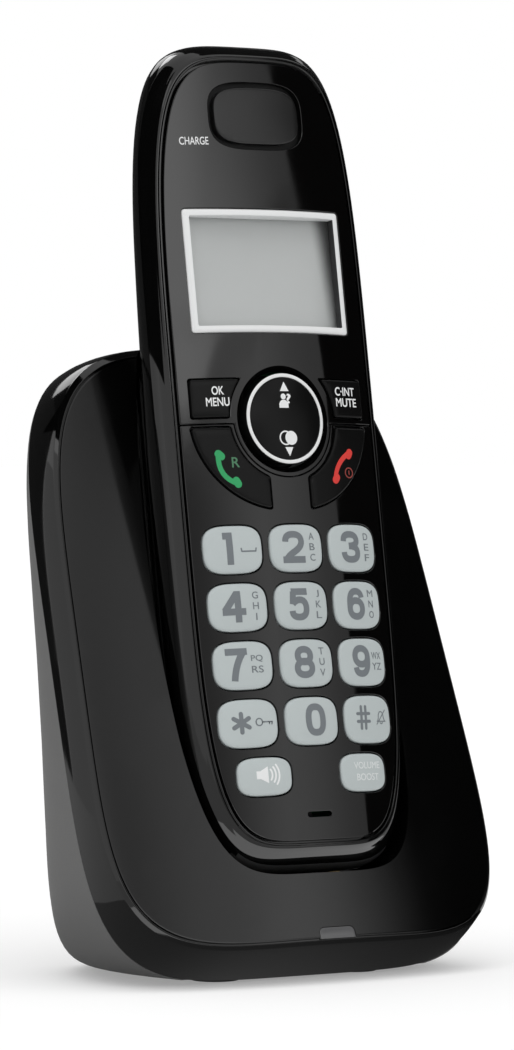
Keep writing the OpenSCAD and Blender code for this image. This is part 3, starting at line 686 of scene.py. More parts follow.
# Painted light: a lighter copy of the black shell for the chin, standing for the light that the base face
# throws up into the chin's shade.
chin_painted_light = gloss("chin_painted_light_plastic", (0.03, 0.03, 0.03), 0.4)
base_gloss = gloss("base_black_plastic", (0.0012, 0.0012, 0.0012), 0.04)
base_satin = gloss("base_face_plastic", (0.0012, 0.0012, 0.0012), 0.11)
key_black = gloss("black_key_plastic", (0.004, 0.004, 0.004), 0.2, index=1.22)
insert_black = gloss("earpiece_plastic", (0.006, 0.006, 0.006), 0.3)
grey_matt = grained("matt_grey_plastic", (0.13, 0.13, 0.129), 0.5, 3000, 0.00003)
dark_plain = grained("dark_plastic", (0.02, 0.02, 0.021), 0.4, 2500, 0.00002)
groove_black = grained("groove_plastic", (0.003, 0.003, 0.003), 0.6, 2500, 0.00001)
key_grey = grained("key_plastic", (0.5, 0.55, 0.55), 0.34, 2600, 0.000008)
white_plain = grained("white_plastic", (0.85, 0.86, 0.86), 0.32, 2600, 0.000006)
rubber = grained("rubber", (0.022, 0.022, 0.023), 0.7, 4000, 0.00003)
silicone = grained("grey_silicone", (0.3, 0.31, 0.32), 0.6, 3000, 0.00001)
ink_grey = print_ink("grey", (0.165, 0.185, 0.2), 0.5)
ink_white = print_ink("white", (0.86, 0.87, 0.87))
ink_green = print_ink("green", (0.012, 0.36, 0.11))
ink_red = print_ink("red", (0.72, 0.03, 0.02))
ink_dim_red = print_ink("dim_red", (0.3, 0.04, 0.03))
ink_dim_green = print_ink("dim_green", (0.06, 0.2, 0.1))
ink_pale = print_ink("pale", (0.72, 0.75, 0.75))
# Dark recess wall: partly the wall's own dark plastic, partly painted shade on the side of the recess that
# lies in shadow.
recess_dark_and_painted_shade = grained("recess_dark_painted_shade", (0.03, 0.03, 0.031), 0.6, 3000, 0.000004)
steel = metal("bright_steel", (0.6, 0.6, 0.61), 0.28)
gold = metal("gold_contact", (0.5, 0.37, 0.17), 0.3)
cell_wrap = gloss("cell_wrap", (0.05, 0.16, 0.11), 0.25)
board = gloss("board_green", (0.02, 0.12, 0.05), 0.3)
diode_red = gloss("red_diode", (0.5, 0.05, 0.04), 0.15)
lens_grey = gloss("smoked_lens", (0.085, 0.085, 0.087), 0.2)


# Base

def base_outline(grow, low, high, low_square=LOW_SQUARE):
    """Points of the base outline: narrower upwards, with its own corners above and below."""
    points = []
    for u, v in two_part(TOP_SQUARE, low_square):
        level = FACE_MID + v * (high - FACE_MID if v > 0 else FACE_MID - low)
        points.append((u * (BASE_HALF_W + grow - TAPER * (level - WIDEST)), level))
    return points


def face_outline(inset):
    """Edge of the base face, drawn in."""
    return base_outline(-inset, FACE_LOW + inset, FACE_TOP - inset)


def face_rings(inset, shares):
    """Rings on the crowned base face, each a share of its edge."""
    rings = []
    for share in shares:
        points = [(share * x, FACE_MID + share * (z - FACE_MID)) for x, z in face_outline(inset)]
        rings.append([(x, base_depth(x) + inset, z) for x, z in points])
    return rings


def base_front_body(name, inset, back, groove=()):
    """Front of the base: crowned face, a groove if given, narrow turned edge, and sides back to the seam."""
    rings = face_rings(inset, (0.03, 0.15, 0.3, 0.45, 0.6, 0.75, 0.87, 0.95, 0.985))
    for short, sink in groove:
        rings.append([(x, base_depth(x) + sink, z) for x, z in face_outline(short)])
    for out, deep in EDGE_PROFILE:
        grow = FLARE * out - inset
        low = FACE_LOW - grow - SKIRT * deep
        points = base_outline(grow, low, FACE_TOP + RISE * out - inset)
        rings.append([(x, back * deep + (1 - deep) * (base_depth(x) + inset), z) for x, z in points])
    return skin(name, rings)


def rear_low(turn):
    """Lower edge of a rear ring, just under the flat bottom."""
    rise = math.tan(LEAN)
    reach = SEAM + math.sin(turn) * (REAR_TOP + REAR_SLOPE * FACE_TOP)
    return (rise * reach + (FOOT_H - REAR_SINK) / math.cos(LEAN)) / (1 + rise * math.sin(turn) * REAR_SLOPE)


def base_rear_body(name, inset):
    """Back of the base, from the seam to its upright back."""
    rings = []
    for turn in turns(REAR_TURN, 14):
        shrink = inset + REAR_ROUND * (1 - math.cos(turn))
        square = LOW_SQUARE + (REAR_SQUARE - LOW_SQUARE) * math.sin(turn)
        points = base_outline(FLARE - shrink, rear_low(turn), FACE_TOP + RISE - shrink, square)
        start, share = SEAM + FIT - inset, math.sin(turn)
        rings.append([(x, start + share * (REAR_TOP + REAR_SLOPE * (FACE_TOP - z)), z) for x, z in points])
    return skin(name, rings)


def handset_outline(half_w, half_l, chin=CHIN_L):
    """Handset outline, rounder above than below, with its lower half lengthened for the chin."""
    points = two_part(HANDSET_TOP_SQUARE, HANDSET_SQUARE)
    return [(u * half_w, HALF_L + v * (half_l if v > 0 else half_l + chin)) for u, v in points]


def handset_ring(half_w, half_l, depth):
    """Level ring of the handset outline."""
    return [(x, depth, z) for x, z in handset_outline(half_w, half_l)]


def well_body(name, grow):
    """Space that the handset needs in the cradle, open to the front."""
    half_w = HALF_W + CRADLE_GAP + grow
    half_l = HALF_L + CRADLE_DROP + grow
    depth = HANDSET_T + CRADLE_GAP + grow - PART_DEPTH
    rings = [handset_ring(half_w, half_l, WELL_FRONT)]
    for turn in turns(90, 10):
        sink = 1 - math.cos(turn)
        level = PART_DEPTH + depth * math.sin(turn)
        rings.append(handset_ring(half_w - BACK_ROUND * sink, half_l - BACK_ROUND_END * sink, level))
    return skin(name, rings)


def behind_base_face():
    """Straight body behind the base face, which bounds the cup of the well."""
    inset = BASE_WALL / 2
    rings = face_rings(inset, (0.03, 0.3, 0.6, 0.8, 1))
    rings.append([(x, WELL_BACK, z) for x, z in face_outline(inset)])
    return skin("well_bound", rings)


def lamp_block(name, grow):
    """Block of the lamp lens at the foot of the face, with rounded upper corners."""
    low = LAMP_LOW - grow
    high = FACE_LOW + LAMP_H + grow
    half = LAMP_HALF_W + grow
    corner = LAMP_CORNER + grow
    outline = [(-half, low), (half, low)]
    outline += arc(corner, half - corner, high - corner, 0, 90, 6)
    outline += arc(corner, corner - half, high - corner, 90, 180, 6)
    return prism(name, outline, LAMP_DEPTHS[0], LAMP_DEPTHS[1] + grow)


def make_base_front():
    """Glossy front shell with the cradle well."""
    shell = place(base_front_body("base_front", 0, SEAM, BASE_GROOVE), BASE)
    cut(shell, place(base_front_body("hollow", BASE_WALL, SEAM + OVER), BASE))
    cup = place(well_body("cup", BASE_WALL), HANDSET)
    cut(cup, place(behind_base_face(), BASE), "INTERSECT")
    cut(shell, cup, "UNION")
    cut(shell, place(well_body("well", 0), HANDSET))
    for side in (-1, 1):
        x = side * CONTACT_X
        slot = box(x - CONTACT_SLOT_HALF, CONTACT_SLOT_LOW, x + CONTACT_SLOT_HALF, -CHIN_L)
        bore(shell, slot, *CONTACT_SLOT_DEPTHS, HANDSET)
        x = side * RIB_X
        rib_box = box(x - RIB_HALF, -CHIN_L - RIB_FOOT, x + RIB_HALF, -CHIN_L - RIB_GAP)
        rib = prism("rib", rib_box, *RIB_DEPTHS)
        cut(shell, place(round_edges(rib, RIB_ROUND), HANDSET), "UNION")
    cut(shell, place(lamp_block("lamp_space", FIT), BASE))
    forward = BASE.to_3x3() @ Vector((0, -1, 0))
    to_face = BASE.inverted()

    def in_face(polygon):
        middle = to_face @ polygon.center
        near = abs(middle.y - base_depth(middle.x)) < NEAR_CROWN
        return near and polygon.normal.dot(forward) > BASE_FRONT

    two_tone(shell, base_gloss, base_satin, in_face)
    settle(shell, HERE, "base", base_gloss, ["base_front_shell"])


def make_base_rear():
    """Matt rear shell with the flat bottom, the jack windows and the page button hole."""
    shell = place(base_rear_body("base_rear", 0), BASE)
    hollow = place(base_rear_body("hollow", BASE_WALL), BASE)
    above = prism("above", box(-WIDE, FLOOR_TOP, WIDE, TALL), -WIDE, TALL)
    cut(shell, cut(hollow, above, "INTERSECT"))
    bore(shell, box(-WIDE, -WIDE, WIDE, FOOT_H), -WIDE, TALL)
    for x, half_w, height in JACK_WINDOWS:
        outline = box(x - half_w, JACK_LOW, x + half_w, JACK_LOW + height)
        bore(shell, outline, *JACK_DEPTHS, FLOOR)
    bore(shell, disc(PAGE_HOLE_R, 0, PAGE_Z), *PAGE_DEPTHS, FLOOR)
    for x, z in BASE_SCREWS:
        bore(shell, disc(SCREW_HOLE_R, x, z, 40), *SCREW_HOLE_DEPTHS, BASE)
    settle(shell, HERE, "base", grey_matt, ["base_rear_shell"])


make_base_front()
make_base_rear()


# Handset shells

def make_handset_front():
    """Glossy rim round the face: its turned edge, the lip beside the plates, and the inner wall."""
    rings = []
    for short, depth in RIM_PROFILE:
        chin = CHIN_L - (CHIN_L - FACE_CHIN_L) * short
        points = handset_outline(HALF_W - RIM_W * short, HALF_L - RIM_END * short, chin)
        level = 1 - depth / PART_DEPTH
        rings.append([(x, depth + level * face_depth(x), z) for x, z in points])
    for inset, sink in LIP_PROFILE:
        points = handset_outline(FACE_HALF_W - inset, FACE_HALF_L - inset, FACE_CHIN_L)
        rings.append([(x, face_depth(x) + sink, z) for x, z in points])
    rings.append(handset_ring(CAVITY_HALF_W, CAVITY_HALF_L, PART_DEPTH - CAVITY_STEP))
    rings.append(handset_ring(CAVITY_HALF_W, CAVITY_HALF_L, PART_DEPTH))
    shell = skin("handset_front", rings, wrap=True)
    # Faces that look down, at the chin, take the lighter painted-light copy of the shell.
    two_tone(shell, shell_gloss, chin_painted_light, lambda face: face.normal.z < -0.55 and face.normal.y > -0.6)
    settle(shell, HANDSET, "handset", shell_gloss, ["handset_front_shell"])


def handset_rear_body(name, inset):
    """Back of the handset, thinner towards its top."""
    rings = []
    depth = HANDSET_T - PART_DEPTH - FIT
    for turn in turns(90, 14):
        sink = 1 - math.cos(turn)
        points = handset_outline(HALF_W - inset - BACK_ROUND * sink, HALF_L - inset - BACK_ROUND_END * sink)
        start = PART_DEPTH + FIT - inset
        share = math.sin(turn)
        rings.append([(x, start + share * (depth - BACK_TAPER * max(0, z - HALF_L)), z) for x, z in points])
    return skin(name, rings)


def make_handset_back():
    """Rear shell with the battery bay and its door seat, screw wells and sound holes."""
    shell = handset_rear_body("handset_rear", 0)
    half = BAY_HALF_W + BAY_WALL
    bay_walls = box(-half, BAY_LOW - BAY_WALL, half, BAY_TOP + BAY_WALL)
    bay = prism("bay_walls", bay_walls, BAY_FRONT - BAY_FLOOR_T, BAY_BACK)
    half = DOOR_HALF + SEAT_SIDE
    seat = prism("seat", box(-half, SEAT_LOW, half, SEAT_TOP), SEAT_FRONT, BEHIND)
    cut(seat, handset_rear_body("seat_front", DOOR_T + FREE + SEAT_T))
    cut(seat, handset_rear_body("seat_bound", SEAT_INSET), "INTERSECT")
    cut(shell, handset_rear_body("hollow", HANDSET_WALL))
    cut(shell, seat, "UNION")
    cut(shell, bay, "UNION")
    half = DOOR_HALF + FREE
    door_way = box(-half, DOOR_LOW - DOOR_TRAVEL - 2 * FREE, half, DOOR_TOP + FREE)
    pocket = prism("pocket", door_way, BAY_FRONT, FAR_BEHIND)
    cut(pocket, handset_rear_body("pocket_floor", DOOR_T + FREE))
    cut(shell, pocket)
    bore(shell, box(-BAY_HALF_W, BAY_LOW, BAY_HALF_W, BAY_TOP), BAY_FRONT, BEHIND)
    half = TONGUE_HALF + FREE
    notch = box(-half, BAY_TOP - OVER, half, DOOR_TOP + TONGUE_L + FREE)
    bore(shell, notch, SEAT_DEPTH - TONGUE_T - FREE, SEAT_DEPTH + FIT + FREE)
    for x, z in HANDSET_SCREWS:
        bore(shell, disc(SCREW_WELL_R, x, z, 40), HOLE_FRONT, BEHIND)
    for row in (-1, 0, 1):
        for column in (-1, 0, 1):
            x, z = column * SOUND_HOLE_PITCH, DISPLAY_Z + row * SOUND_HOLE_PITCH
            bore(shell, disc(SOUND_HOLE_R, x, z, 24), HOLE_FRONT, BEHIND)
    for side in (-1, 1):
        x = side * CONTACT_X
        pad_slot = box(x - PAD_SLOT_HALF, -CHIN_L - OVER, x + PAD_SLOT_HALF, PAD_SLOT_H - CHIN_L)
        bore(shell, pad_slot, *PAD_SLOT_DEPTHS)
    settle(shell, HANDSET, "handset", shell_gloss, ["handset_rear_shell"])


def make_battery_door():
    """Battery door with a thumb grip of ribs and the tongue under the shell's edge."""
    door = handset_rear_body("battery_door_panel", 0)
    cut(door, handset_rear_body("door_inside", DOOR_T))
    reach = prism("door_reach", box(-DOOR_HALF, DOOR_LOW, DOOR_HALF, DOOR_TOP), BAY_FRONT, FAR_BEHIND)
    cut(door, reach, "INTERSECT")
    outline = box(-TONGUE_HALF, DOOR_TOP - TONGUE_L, TONGUE_HALF, DOOR_TOP + TONGUE_L)
    tongue = prism("tongue", outline, SEAT_DEPTH - TONGUE_T, SEAT_DEPTH + FIT)
    cut(door, round_edges(tongue, TONGUE_ROUND), "UNION")
    for i in range(GRIP_COUNT):
        half = GRIP_HALF_W - GRIP_STEP * abs(i - GRIP_COUNT // 2)
        groove = oval(half, GRIP_HALF_H, GRIP_SQUARE, 32, 0, GRIP_TOP - GRIP_PITCH * i)
        bore(door, groove, HANDSET_T - GRIP_DEPTH, BEHIND)
    settle(door, HANDSET, "battery_door", shell_gloss, ["battery_door"])


make_handset_front()
make_handset_back()
make_battery_door()


# Plates and keys of the handset face

def round_corners(obj, radius):
    """Rounds the upright corners of a straight block."""
    normals = {}
    for polygon in obj.data.polygons:
        for key in polygon.edge_keys:
            normals.setdefault(key, []).append(polygon.normal.copy())
    edit(obj)
    bpy.ops.mesh.select_all(action="DESELECT")
    bpy.ops.object.mode_set(mode="OBJECT")
    for edge in obj.data.edges:
        first, second = (obj.data.vertices[i].co for i in edge.vertices)
        upright = abs(first.x - second.x) < 1e-4 and abs(first.z - second.z) < 1e-4
        sides = normals[edge.key]
        edge.select = upright and sides[0].angle(sides[1]) > math.radians(CORNER_ANGLE)
    bpy.ops.object.mode_set(mode="EDIT")
    bpy.ops.mesh.bevel(offset=radius, segments=6, affect="EDGES", clamp_overlap=True)
    leave()
    return obj


def angle_at(height, radius):
    """Angle in degrees at which a circle reaches a height above its middle."""
    return math.degrees(math.asin(height / radius))


def soft_outline(grow):
    """Outline of the right soft key: a block whose inner side runs round the nav key."""
    radius = NAV_CLEAR_R - grow
    low, high = SOFT_LOW - grow, SOFT_TOP + grow
    inner = arc(radius, 0, NAV_Z, angle_at(high - NAV_Z, radius), angle_at(low - NAV_Z, radius), 14)
    return [(SOFT_X + grow, low), (SOFT_X + grow, high)] + inner


def call_outline(grow):
    """Outline of the right call key: between the nav key's ring and an outer arc."""
    inner, outer = NAV_CLEAR_R - grow, CALL_R + grow
    top, side = CALL_TOP + grow, CALL_IN - grow
    inner_end = -math.degrees(math.acos(side / inner))
    outer_start = -math.degrees(math.acos((side - CALL_X) / outer))
    points = arc(inner, 0, NAV_Z, angle_at(top - NAV_Z, inner), inner_end, 20)
    return points + arc(outer, CALL_X, CALL_Z, outer_start, angle_at(top - CALL_Z, outer), 28)


def mirrored(outline):
    """Outline on the other side of the middle."""
    return [(-x, z) for x, z in reversed(outline)]


def light_outline(key, grow):
    """Outline of a light key."""
    x, z, half_w, half_h = LIGHT_KEYS[key]
    return oval(half_w + grow, half_h + grow, KEY_SQUARE, 56, x, z)


def display_box(grow):
    """Outline of the display frame."""
    half_w, half_h = DISPLAY_HALF_W + grow, DISPLAY_HALF_H + grow
    return box(-half_w, DISPLAY_Z - half_h, half_w, DISPLAY_Z + half_h)


def earpiece_outline(grow_w, grow_h):
    """Outline of the earpiece opening."""
    return oval(EARPIECE_HALF_W + grow_w, EARPIECE_HALF_H + grow_h, KEY_SQUARE, 72, 0, EARPIECE_Z)


def on_face(x, z):
    """Depth of the handset face at a point across and along it."""
    return face_depth(x)


def cut_through(plate, outline, radius=0):
    """Opening through a flat plate."""
    tool = prism("opening", outline, *THROUGH_PLATE)
    if radius:
        round_corners(tool, radius)
    return cut(plate, tool)


def upper_share(grow):
    """Outline of the upper plate's share of the face, with the lobe round the nav key."""
    radius = NAV_LOBE_R + grow
    split = PLATE_SPLIT - grow
    dip = angle_at(NAV_Z - split, radius)
    lobe = arc(radius, 0, NAV_Z, 180 + dip, 360 - dip, 48)
    edge = PLATE_REACH
    return [(edge, split), (edge, TALL), (-edge, TALL), (-edge, split)] + lobe


def plate_blank(name):
    """Flat plate of the whole face."""
    outline = handset_outline(FACE_HALF_W - PLATE_RIM, FACE_HALF_L - PLATE_RIM, FACE_CHIN_L)
    return prism(name, outline, 0, PLATE_T)


def nav_dish():
    """Cone that dishes the plate round the nav key."""
    rings = []
    for grow, depth in NAV_DISH:
        rings.append([(x, depth, z) for x, z in disc(NAV_R + grow, 0, NAV_Z, 96)])
    return skin("dish", rings)


def finish_plate(plate, node):
    """Rounds the edges of a plate, lays it on the crown and sets it down."""
    round_edges(plate, PLATE_ROUND)
    bend(plate, on_face)
    polish(settle(plate, HANDSET, "handset", black_gloss, [node]))


def make_display_plate():
    """Upper plate: display and earpiece openings, soft keys, and the lobe with its dished nav opening."""
    plate = plate_blank("upper_plate")
    cut(plate, prism("share", upper_share(-FIT), *SHARE_DEPTHS), "INTERSECT")
    cut_through(plate, disc(NAV_R + NAV_GAP, 0, NAV_Z, 96))
    cut(plate, nav_dish())
    cut_through(plate, display_box(FIT), FRAME_CORNER + FIT)
    cut_through(plate, earpiece_outline(0, 0))
    for outline in (soft_outline(KEY_GAP), mirrored(soft_outline(KEY_GAP))):
        cut_through(plate, outline, SOFT_CORNER + FIT)
    finish_plate(plate, "display_plate")


def make_keypad_plate():
    """Lower plate: openings for the call keys, the digits, the two low keys and the microphone."""
    plate = plate_blank("lower_plate")
    cut(plate, prism("share", upper_share(FIT), *SHARE_DEPTHS))
    for outline in (call_outline(KEY_GAP), mirrored(call_outline(KEY_GAP))):
        cut_through(plate, outline, CALL_CORNER + FIT)
    for key in LIGHT_KEYS:
        cut_through(plate, light_outline(key, KEY_GAP))
    mic_slot = box(-MIC_HALF_W, MIC_Z - MIC_HALF_H, MIC_HALF_W, MIC_Z + MIC_HALF_H)
    cut_through(plate, mic_slot, MIC_CORNER)
    finish_plate(plate, "keypad_plate")


def make_earpiece():
    """Earpiece insert, a pillow in its groove, on a sheet that closes the groove behind."""
    half_w, half_h = EARPIECE_HALF_W - EARPIECE_GROOVE, EARPIECE_HALF_H - EARPIECE_GROOVE
    outline = earpiece_outline(-EARPIECE_GROOVE, -EARPIECE_GROOVE)
    insert = prism("earpiece_pillow", outline, -EARPIECE_PILLOW, PLATE_T)
    round_edges(insert, EARPIECE_ROUND, 4)
    bend(insert, crowned(half_w, half_h, 0, EARPIECE_Z, EARPIECE_PILLOW), KEY_STEP, BOTH)
    settle(insert, HANDSET, "handset", insert_black, ["earpiece_insert"])
    sheet = prism("earpiece_deck", earpiece_outline(*DECK_GROW), PLATE_T + GLUE, DECK_BACK)
    bend(sheet, on_face)
    settle(sheet, HANDSET, "handset", groove_black)


def crowned(half_w, half_h, x, z, pillow):
    """Depth of the face with a pillow raised on it."""
    def depth(px, pz):
        u, v = (px - x) / half_w, (pz - z) / half_h
        return face_depth(px) - pillow * max(0, 1 - u * u) * max(0, 1 - v * v)
    return depth


def make_display_frame():
    """White frame round the display; inside it the right wall of the recess is dark, partly its own dark
    plastic and partly painted shade, while the other walls stay white.
    """
    rim = prism("display_surround", display_box(0), -FRAME_PROUD, FRAME_BACK)
    round_corners(rim, FRAME_CORNER)
    cut_through(rim, display_box(-DISPLAY_BORDER), FRAME_INNER_CORNER)
    round_edges(rim, FRAME_ROUND)
    bend(rim, on_face, back=FRAME_BACK)
    half_w, half_h = DISPLAY_HALF_W - DISPLAY_BORDER + 0.02, DISPLAY_HALF_H - DISPLAY_BORDER + 0.02

    # Only the right wall of the recess takes the dark finish: painted shade, as the other walls stay white.
    def in_shaded_right_wall(polygon):
        x, z = polygon.center.x, polygon.center.z - DISPLAY_Z
        return polygon.normal.x < -0.5 and abs(x) < half_w and abs(z) < half_h

    two_tone(rim, white_plain, recess_dark_and_painted_shade, in_shaded_right_wall)
    settle(rim, HANDSET, "handset", white_plain, ["display_frame"])


make_display_plate()
make_keypad_plate()
make_earpiece()
make_display_frame()


# Keys

def make_key(key, outline, foot, edge, material, corner=0):
    """Key whose rounded cap follows its top, with a flange behind the plate."""
    cap = prism(key + "_cap", outline, 0, KEY_DEPTH)
    flange = prism("flange", foot, KEY_DEPTH, KEY_DEPTH + FLANGE_T)
    if corner:
        round_corners(cap, corner)
        round_corners(flange, corner)
    round_edges(cap, edge, 5)
    bend(cap, TOPS[key], KEY_STEP, BOTH, KEY_DEPTH)
    settle(join(cap, flange), HANDSET, key, material, [key])


def key_top(key):
    """Top of a light key, pillowed above the face."""
    x, z, half_w, half_h = LIGHT_KEYS[key]
    pillow = crowned(half_w, half_h, x, z, PILLOW)
    return lambda px, pz: pillow(px, pz) - (KEY_PROUD - PILLOW)


def black_top(x, z):
    """Top of a black key, which follows the face."""
    return face_depth(x) - KEY_PROUD


def nav_top(x, z):
    """Top of the nav key."""
    return face_depth(x) - NAV_PROUD


# Face that each body offers to a printed mark
TOPS = {"handset": on_face, "nav_rocker": nav_top}
for key in LIGHT_KEYS:
    TOPS[key] = key_top(key)
    cap_line, foot_line = light_outline(key, 0), light_outline(key, FLANGE_W)
    make_key(key, cap_line, foot_line, LIGHT_EDGE, key_grey)

for key, line, corner in (
    ("menu_key", mirrored(soft_outline(0)), SOFT_CORNER),
    ("clear_key", soft_outline(0), SOFT_CORNER),
    ("talk_key", mirrored(call_outline(0)), CALL_CORNER),
    ("end_key", call_outline(0), CALL_CORNER),
):
    TOPS[key] = black_top
    make_key(key, line, line, BLACK_EDGE, key_black, corner)

nav_cap = prism("nav_cap", disc(NAV_R - NAV_RING_W - GLUE, 0, NAV_Z, 96), -NAV_PROUD, KEY_DEPTH)
round_edges(nav_cap, NAV_ROUND)
bend(nav_cap, on_face, KEY_STEP, back=KEY_DEPTH)
nav_foot = prism("nav_foot", disc(NAV_R + FLANGE_W, 0, NAV_Z, 96), KEY_DEPTH, KEY_DEPTH + FLANGE_T)
settle(join(nav_cap, nav_foot), HANDSET, "nav_rocker", key_black, ["nav_key"])

nav_band = prism("nav_band", disc(NAV_R, 0, NAV_Z, 96), -NAV_PROUD, KEY_DEPTH)
cut_through(nav_band, disc(NAV_R - NAV_RING_W, 0, NAV_Z, 96))
round_edges(nav_band, NAV_RING_ROUND, 4)
bend(nav_band, on_face, KEY_STEP, back=KEY_DEPTH)
two_tone(nav_band, white_plain, key_black, lambda face: face.normal.y >= -0.5)
settle(nav_band, HANDSET, "nav_rocker", white_plain, ["nav_ring"])


# Printed marks

INK = 0.03
SUNK = 0.06
MARK_STEP = 0.8
# Points of a letter that lie closer than this are one, as a share of its size
LETTER_MERGE = 0.004


def shape(*outlines):
    """Thin flat mark made of outlines, fused where they overlap."""
    mark = prism("mark", outlines[0], -INK, SUNK)
    for outline in outlines[1:]:
        cut(mark, prism("mark_part", outline, -INK, SUNK), "UNION")
    return mark


def stroke(points, width, rounded=True):
    """Outline of a line of even width, with round or flat ends."""
    half = width / 2
    left, right = [], []
    for i, (x, z) in enumerate(points):
        before, after = points[max(i - 1, 0)], points[min(i + 1, len(points) - 1)]
        along = Vector((after[0] - before[0], after[1] - before[1])).normalized()
        left.append((x - half * along.y, z + half * along.x))
        right.append((x + half * along.y, z - half * along.x))
    if not rounded:
        return right + left[::-1]
    start = math.degrees(math.atan2(points[1][1] - points[0][1], points[1][0] - points[0][0]))
    end = math.degrees(math.atan2(points[-1][1] - points[-2][1], points[-1][0] - points[-2][0]))
    tip = arc(half, points[-1][0], points[-1][1], end - 90, end + 90, 6)[1:-1]
    tail = arc(half, points[0][0], points[0][1], start + 90, start + 270, 6)[1:-1]
    return right + tip + left[::-1] + tail


def swept(*points, steps=8):
    """Points on a run of curves: each leaves a point towards the next and ends at the one after that."""
    run = [points[0]]
    for k in range(0, len(points) - 2, 2):
        first, control, last = points[k:k + 3]
        for i in range(1, steps + 1):
            t = i / steps
            a, b, c = (1 - t) ** 2, 2 * t * (1 - t), t ** 2
            run.append(tuple(a * first[n] + b * control[n] + c * last[n] for n in (0, 1)))
    return run


def ring_lines(half_w, half_h, square, x, z):
    """Line round a squared oval, as two halves that overlap a little."""
    points = oval(half_w, half_h, square, 48, x, z)
    return points[:26], points[24:] + points[:2]


def loop(radius, x, z, width):
    """Outlines of a ring."""
    return [stroke(line, width, False) for line in ring_lines(radius, radius, 2, x, z)]


# Digits as lines in a box from -1 to 1
DIGIT_LINES = {
    "1": ([(0.35, -1.265), (0.35, 1.265)], [(-1, 1), (0.3, 1)]),
    "2": (swept((-1, 0.42), (-1, 1), (0, 1), (1, 1), (1, 0.42), (1, 0), (0, -0.4), (-0.85, -0.75),
                (-0.9, -1)), [(-1.4, -1), (1.4, -1)]),
    "3": (swept((-1, 0.45), (-1, 1), (-0.05, 1), (0.92, 1), (0.92, 0.52), (0.92, 0.07), (-0.25, 0.07)),
          swept((-0.25, 0.07), (1, 0.07), (1, -0.46), (1, -1), (0, -1), (-1, -1), (-1, -0.42))),
    "4": ([(0.5, -1.25), (0.5, 1.2)], [(-1.3, -0.42), (1.4, -0.42)], [(-1.05, -0.35), (0.45, 1.05)]),
    "5": ([(-1, 1), (1.25, 1)], [(-0.72, 1), (-0.9, 0.02)],
          swept((-0.9, 0.05), (-0.45, 0.36), (0.1, 0.36), (1, 0.36), (1, -0.32), (1, -1), (-0.05, -1),
                (-1, -1), (-1, -0.5))),
    "6": (swept((0.95, 0.5), (0.9, 1), (0.05, 1), (-1, 1), (-1, -0.1), (-1, -0.2), (-1, -0.35)),
          *ring_lines(1, 0.63, 2.2, 0, -0.37)),
    "7": ([(-1.35, 1), (1.4, 1)], swept((0.95, 1), (-0.2, 0.1), (-0.38, -1.28))),
    "8": (*ring_lines(0.86, 0.5, 2.2, 0, 0.5), *ring_lines(1, 0.53, 2.2, 0, -0.47)),
    "0": ring_lines(1, 1, 2.6, 0, 0),
}
DIGIT_LINES["9"] = tuple([(-x, -z) for x, z in line] for line in DIGIT_LINES["6"])


def digit_shape(digit, width, height, x, z, weight):
    """Digit of even weight, fitted to a box round a point."""
    half_w, half_h = (width - weight) / 2, (height - weight) / 2
    outlines = []
    for line in DIGIT_LINES[digit]:
        outlines.append(stroke([(x + half_w * u, z + half_h * v) for u, v in line], weight, False))
    return shape(*outlines)


def moved(points, x, z):
    """Points moved to a place."""
    return [(px + x, pz + z) for px, pz in points]


def strokes(lines, width, x=0, z=0):
    """Outlines of several lines, moved to a place."""
    return [stroke(moved(line, x, z), width) for line in lines]


def word(text, width, height, x, z, weight):
    """Word as a thin flat mark, its strokes fattened by a weight, fitted to a box round a point."""
    bpy.ops.object.text_add()
    obj = bpy.context.object
    obj.data.body = text
    obj.data.extrude = 0.5
    obj.data.resolution_u = 5
    bpy.ops.object.convert(target="MESH")
    edit(obj)
    bpy.ops.mesh.remove_doubles(threshold=LETTER_MERGE)
    leave()
    normals = [vertex.normal.copy() for vertex in obj.data.vertices]
    for vertex, normal in zip(obj.data.vertices, normals):
        vertex.co += weight * Vector((normal.x, normal.y, 0)).normalized()
    across = [vertex.co.x for vertex in obj.data.vertices]
    up = [vertex.co.y for vertex in obj.data.vertices]
    wide, high = max(across) - min(across), max(up) - min(up)
    for vertex in obj.data.vertices:
        px = x + width * ((vertex.co.x - min(across)) / wide - 0.5)
        pz = z + height * ((vertex.co.y - min(up)) / high - 0.5)
        vertex.co = (px, -INK if vertex.co.z > 0 else SUNK, pz)
    return obj


def print_on(body, ink, *marks, name=None):
    """Lays marks on the face of a body and lets them ride with it. They have its name or their own."""
    mark = join(*marks)
    mark.name = "mark_" + (name or body)
    bend(mark, TOPS[body], MARK_STEP, BOTH)
    settle(mark, HANDSET, body, ink)


def receiver(bar, *ends):
    """Handset symbol: a curved bar with two thick ends."""
    return shape(stroke(swept(*bar), 1.0), *strokes(ends, 1.55))


# Digit: place beside the middle of its key, width, letters, and place of the letters
DIGIT_MARKS = {
    "1": (-1.3, 3.2, (), 0),
    "2": (-0.9, 4.9, ("A", "B", "C"), 3.4),
    "3": (-0.65, 4.8, ("D", "E", "F"), 3.6),
    "4": (-1.2, 4.8, ("G", "H", "I"), 3.4),
    "5": (-0.85, 4.5, ("J", "K", "L"), 3.7),
    "6": (-0.6, 4.5, ("M", "N", "O"), 3.4),
    "7": (-1.6, 4.5, ("PQ", "RS"), 2.6),
    "8": (-0.8, 4.6, ("T", "U", "V"), 3.3),
    "9": (-0.5, 4.5, ("WX", "YZ"), 3.5),
    "0": (0.6, 4.6, (), 0),
}
DIGIT_H = 6.2
DIGIT_WEIGHT = 1.3
LETTER_H = 1.35
LETTER_W = 1.25
LETTER_PITCH = 2.05
LETTER_WEIGHT = 0.006
MARK_RAISE = 0.2
ODD_LETTERS = {"I": 0.25, "J": 0.65, "M": 1.5}
